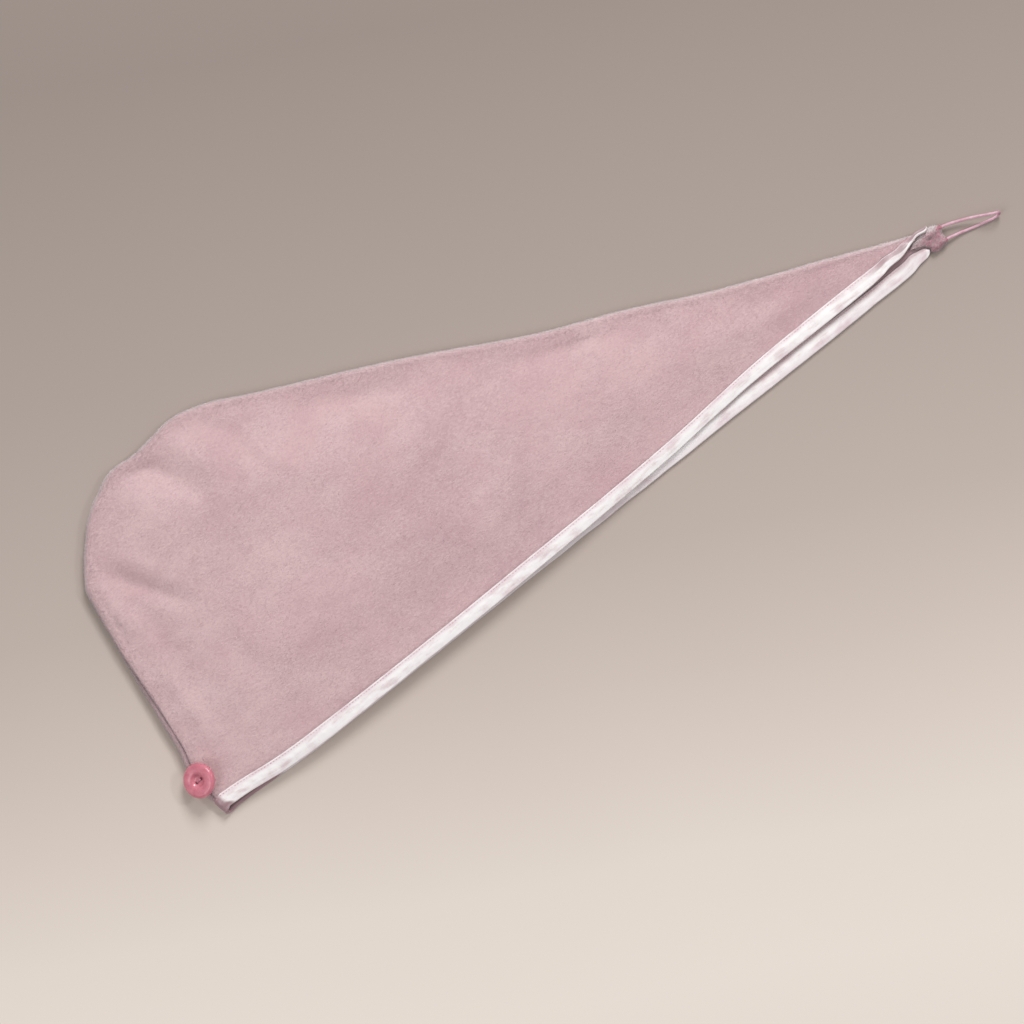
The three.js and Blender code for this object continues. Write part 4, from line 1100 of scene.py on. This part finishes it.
# Loose stitches all over the pad, then turns of thread round each end of the elastic
end_rows = []
for k in range(70):
    x, y = chance.uniform(637, 651), chance.uniform(0.5, 14.5)
    if pad_share(x, y) > 0.93:
        continue
    bearing, long = chance.uniform(0, math.pi), chance.uniform(1.0, 2.2)
    dx, dy = long * math.cos(bearing), long * math.sin(bearing)
    bend = chance.uniform(-0.6, 0.6)
    end_rows.append(smooth_line([
        on_pad(x - dx, y - dy, -0.2), on_pad(x - 0.5 * dx - bend * dy, y - 0.5 * dy + bend * dx, 0.15),
        on_pad(x, y, 0.3), on_pad(x + 0.5 * dx + bend * dy, y + 0.5 * dy - bend * dx, 0.15),
        on_pad(x + dx, y + dy, -0.2)], 5))
for x, y, z, turns in ((651.6, 11.95, 3.95, 9), (650.3, 2.4, 3.95, 7)):
    for k in range(turns):
        at = x - 1.7 + 0.44 * k + chance.uniform(-0.08, 0.08)
        wide = 1.5 + chance.uniform(-0.2, 0.3)
        top = at + 0.05, y + chance.uniform(-0.2, 0.2), z + 1.6
        end_rows.append(smooth_line([
            (at - 0.2, y - wide, 2.5), (at - 0.05, y - 1.2, z + 0.2), top,
            (at, y + 1.2, z + 0.2), (at + 0.2, y + wide, 2.5)], 5))
tail_threads = thread_pieces("tail_threads", end_rows, tack_radius)

# Button
# A coral pink moulded plastic button, thick and rounded like a ring, with a smooth hollow middle and two
# holes. It is sewn on through the rolled edge near the nape corner and leans outwards on it.
button_across = 0.0254
button_thick = 0.0056
rim_round = 0.00276
rim_soft = 0.0003
hole_radius = 0.00115
hole_aside = 0.00235
dish_deep = 0.00247
button_lean = math.radians(27)
lean_bearing = math.radians(150.6)
button_low, button_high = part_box("button")
# The hollow middle, from its rim inwards: how much narrower and how much deeper at each step, in mm
dish_steps = (
    (0.9, -0.05), (0.9, 0.0), (0.9, 0.05), (0.9, 0.14), (0.9, 0.34), (0.7, 0.6), (0.6, 0.75),
    (0.5, 0.45), (0.6, 0.15), (0.8, 0.04),
)
bpy.ops.object.select_all(action="DESELECT")
bpy.ops.mesh.primitive_cylinder_add(vertices=72, radius=button_across / 2, depth=button_thick)
button = bpy.context.object
button.name = "coat_button"
bpy.ops.object.mode_set(mode="EDIT")
bpy.ops.mesh.select_mode(type="EDGE")
bpy.ops.mesh.select_all(action="DESELECT")
bpy.ops.object.mode_set(mode="OBJECT")
for edge in button.data.edges:
    ends = [button.data.vertices[k].co for k in edge.vertices]
    edge.select = abs(ends[0].z - ends[1].z) < 1e-6
bpy.ops.object.mode_set(mode="EDIT")
bpy.ops.mesh.bevel(offset=rim_round, segments=9, profile=0.5, affect="EDGES")
bpy.ops.mesh.select_mode(type="FACE")
bpy.ops.mesh.select_all(action="DESELECT")
bpy.ops.object.mode_set(mode="OBJECT")
for face in button.data.polygons:
    face.select = face.normal.z > 0.99 and len(face.vertices) > 8
bpy.ops.object.mode_set(mode="EDIT")
for narrower, sink in dish_steps:
    bpy.ops.mesh.inset(thickness=narrower / 1000, depth=-sink / 1000)
bpy.ops.mesh.select_all(action="SELECT")
bpy.ops.mesh.normals_make_consistent(inside=False)
bpy.ops.object.mode_set(mode="OBJECT")
for place in (-hole_aside, hole_aside):
    bpy.ops.mesh.primitive_cylinder_add(vertices=32, radius=hole_radius, depth=0.02, location=(place, 0, 0))
    drill = bpy.context.object
    bpy.ops.object.select_all(action="DESELECT")
    button.select_set(True)
    bpy.context.view_layer.objects.active = button
    cut = button.modifiers.new("hole", "BOOLEAN")
    cut.operation, cut.solver, cut.object = "DIFFERENCE", "EXACT", drill
    bpy.ops.object.modifier_apply(modifier="hole")
    bpy.data.objects.remove(drill)
soft = button.modifiers.new("soft", "BEVEL")
soft.width, soft.segments, soft.limit_method, soft.angle_limit = rim_soft, 3, "ANGLE", math.radians(40)
bpy.ops.object.modifier_apply(modifier="soft")
bpy.ops.object.shade_smooth_by_angle(angle=math.radians(35))
leans_to = math.sin(button_lean)
axis = Vector((leans_to * math.cos(lean_bearing), leans_to * math.sin(lean_bearing), math.cos(button_lean)))
leaning = Vector((0, 0, 1)).rotation_difference(axis).to_matrix().to_4x4()
seat = Matrix.Translation((button_low + button_high) / 2) @ leaning
button.data.transform(seat)
moulded_plastic, start = new_material("moulded_plastic")
where = start.node("TexCoord", output=3)
swirl = noise(where, 160.0, 3.0, Distortion=0.6)
scuffs = noise(where.node("Mapping", values={"Vector": where, "Scale": (1.0, 0.15, 1.0)}), 2600.0)
plastic_colour = swirl.between(0.3, 0.7).mix((0.58, 0.165, 0.225), (0.69, 0.235, 0.295))
finish_material(start, {"Coat Weight": 0.35, "Coat Roughness": 0.12, "Subsurface Weight": 0.25,
                        "Subsurface Radius": (0.0022, 0.0008, 0.0009), "Subsurface Scale": 1.0},
                {"Base Color": plastic_colour, "Roughness": scuffs.between(0.2, 0.8, 0.24, 0.36),
                 "Normal": bump(swirl * 0.8 + scuffs * 0.15, 0.12, 0.0002)})
button.data.materials.clear()
button.data.materials.append(moulded_plastic)
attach(button, "root")
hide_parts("button")

# Button thread
# Two strands of the pink thread come up through one hole and go down through the other. Between the two
# they bow a little clear of the floor of the dish.
dish_floor = button_thick / 2 - dish_deep
strand_radius = 0.31
strands = []
for lift, aside in ((0.0, -0.0003), (0.00008, 0.0003)):
    top = dish_floor + 0.00075 + lift
    route = [(x, aside * bow, z) for x, bow, z in (
        (-0.002, 0.5, -button_thick / 2 + 0.0002), (-0.002, 0.6, -0.001), (-0.0019, 0.8, top - 0.0007),
        (-0.0013, 1, top - 0.00005), (0.0, 1.15, top + 0.00008), (0.0013, 1, top - 0.00005),
        (0.0019, 0.8, top - 0.0007), (0.002, 0.6, -0.001), (0.002, 0.5, -button_thick / 2 + 0.0002))]
    route = np.array([tuple(seat @ Vector(p)) for p in smooth_line(route, 10)])
    strands.append((route - nape_corner) * 1000)
button_thread = thread_pieces("button_strands", strands, strand_radius, 10, 0.08)
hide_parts("button_thread")

# Floor
# A plain tabletop that the towel lies on, with painted light and shade: pale at the photograph's lower edge
# and darker towards its top and its left.
bpy.ops.object.select_all(action="DESELECT")
bpy.ops.mesh.primitive_plane_add(size=14, location=view_centre)
floor = bpy.context.object
floor.name = "floor"
bpy.ops.object.transform_apply(location=True, rotation=False, scale=False)
tabletop, start = new_material("tabletop")
where = start.node("TexCoord", output=3)
up_view, right_view = (
    start.node("VectorMath", {"operation": "DOT_PRODUCT"}, {0: where, 1: tuple(way)}, 1)
    - view_centre.dot(way) for way in (photo_up, photo_right))
share = (up_view - right_view * 0.19 + noise(where, 2.2) * 0.05 + 0.335) * 1.39
shade_of_floor = start.node("ValToRGB", {"stops": [
    (0.0, (0.82, 0.745, 0.68)), (0.13, (0.775, 0.70, 0.635)), (0.32, (0.615, 0.535, 0.48)),
    (0.46, (0.505, 0.435, 0.392)), (0.7, (0.405, 0.345, 0.312)), (1.0, (0.315, 0.264, 0.24))]}, {0: share})
finish_material(start, {"Roughness": 0.9, "Specular IOR Level": 0.1}, {"Base Color": shade_of_floor})
floor.data.materials.append(tabletop)

# Lights
# Soft studio light: one large lamp from above the photograph, a small one at its right, a wide fill and a
# pale room.
def lamp(name, towards, height, spread, power, colour):
    """A round lamp over the towel, aimed at it; towards is its place in the photograph's directions."""
    light = bpy.data.lights.new(name, "AREA")
    light.shape = "DISK"
    light.size = spread
    light.energy = power
    light.color = colour
    piece = bpy.data.objects.new(name, light)
    piece.location = view_centre + photo_right * towards[0] + photo_up * towards[1] + Vector((0, 0, height))
    piece.rotation_euler = (view_centre - piece.location).to_track_quat("-Z", "Y").to_euler()
    bpy.context.scene.collection.objects.link(piece)


lamp("key", (0.6, 3.2), 2.8, 1.8, 118, (1.0, 0.99, 0.98))
lamp("side", (2.9, 1.2), 3.1, 0.5, 27, (1.0, 0.99, 0.98))
lamp("fill", (-2.4, -1.6), 3.2, 2.6, 44, (1.0, 0.99, 0.985))
room = bpy.data.worlds.new("room")
room.use_nodes = True
room.node_tree.nodes["Background"].inputs[0].default_value = (1.0, 0.985, 0.975, 1)
room.node_tree.nodes["Background"].inputs[1].default_value = 0.36
bpy.context.scene.world = room
bpy.context.scene.view_settings.view_transform = "Standard"
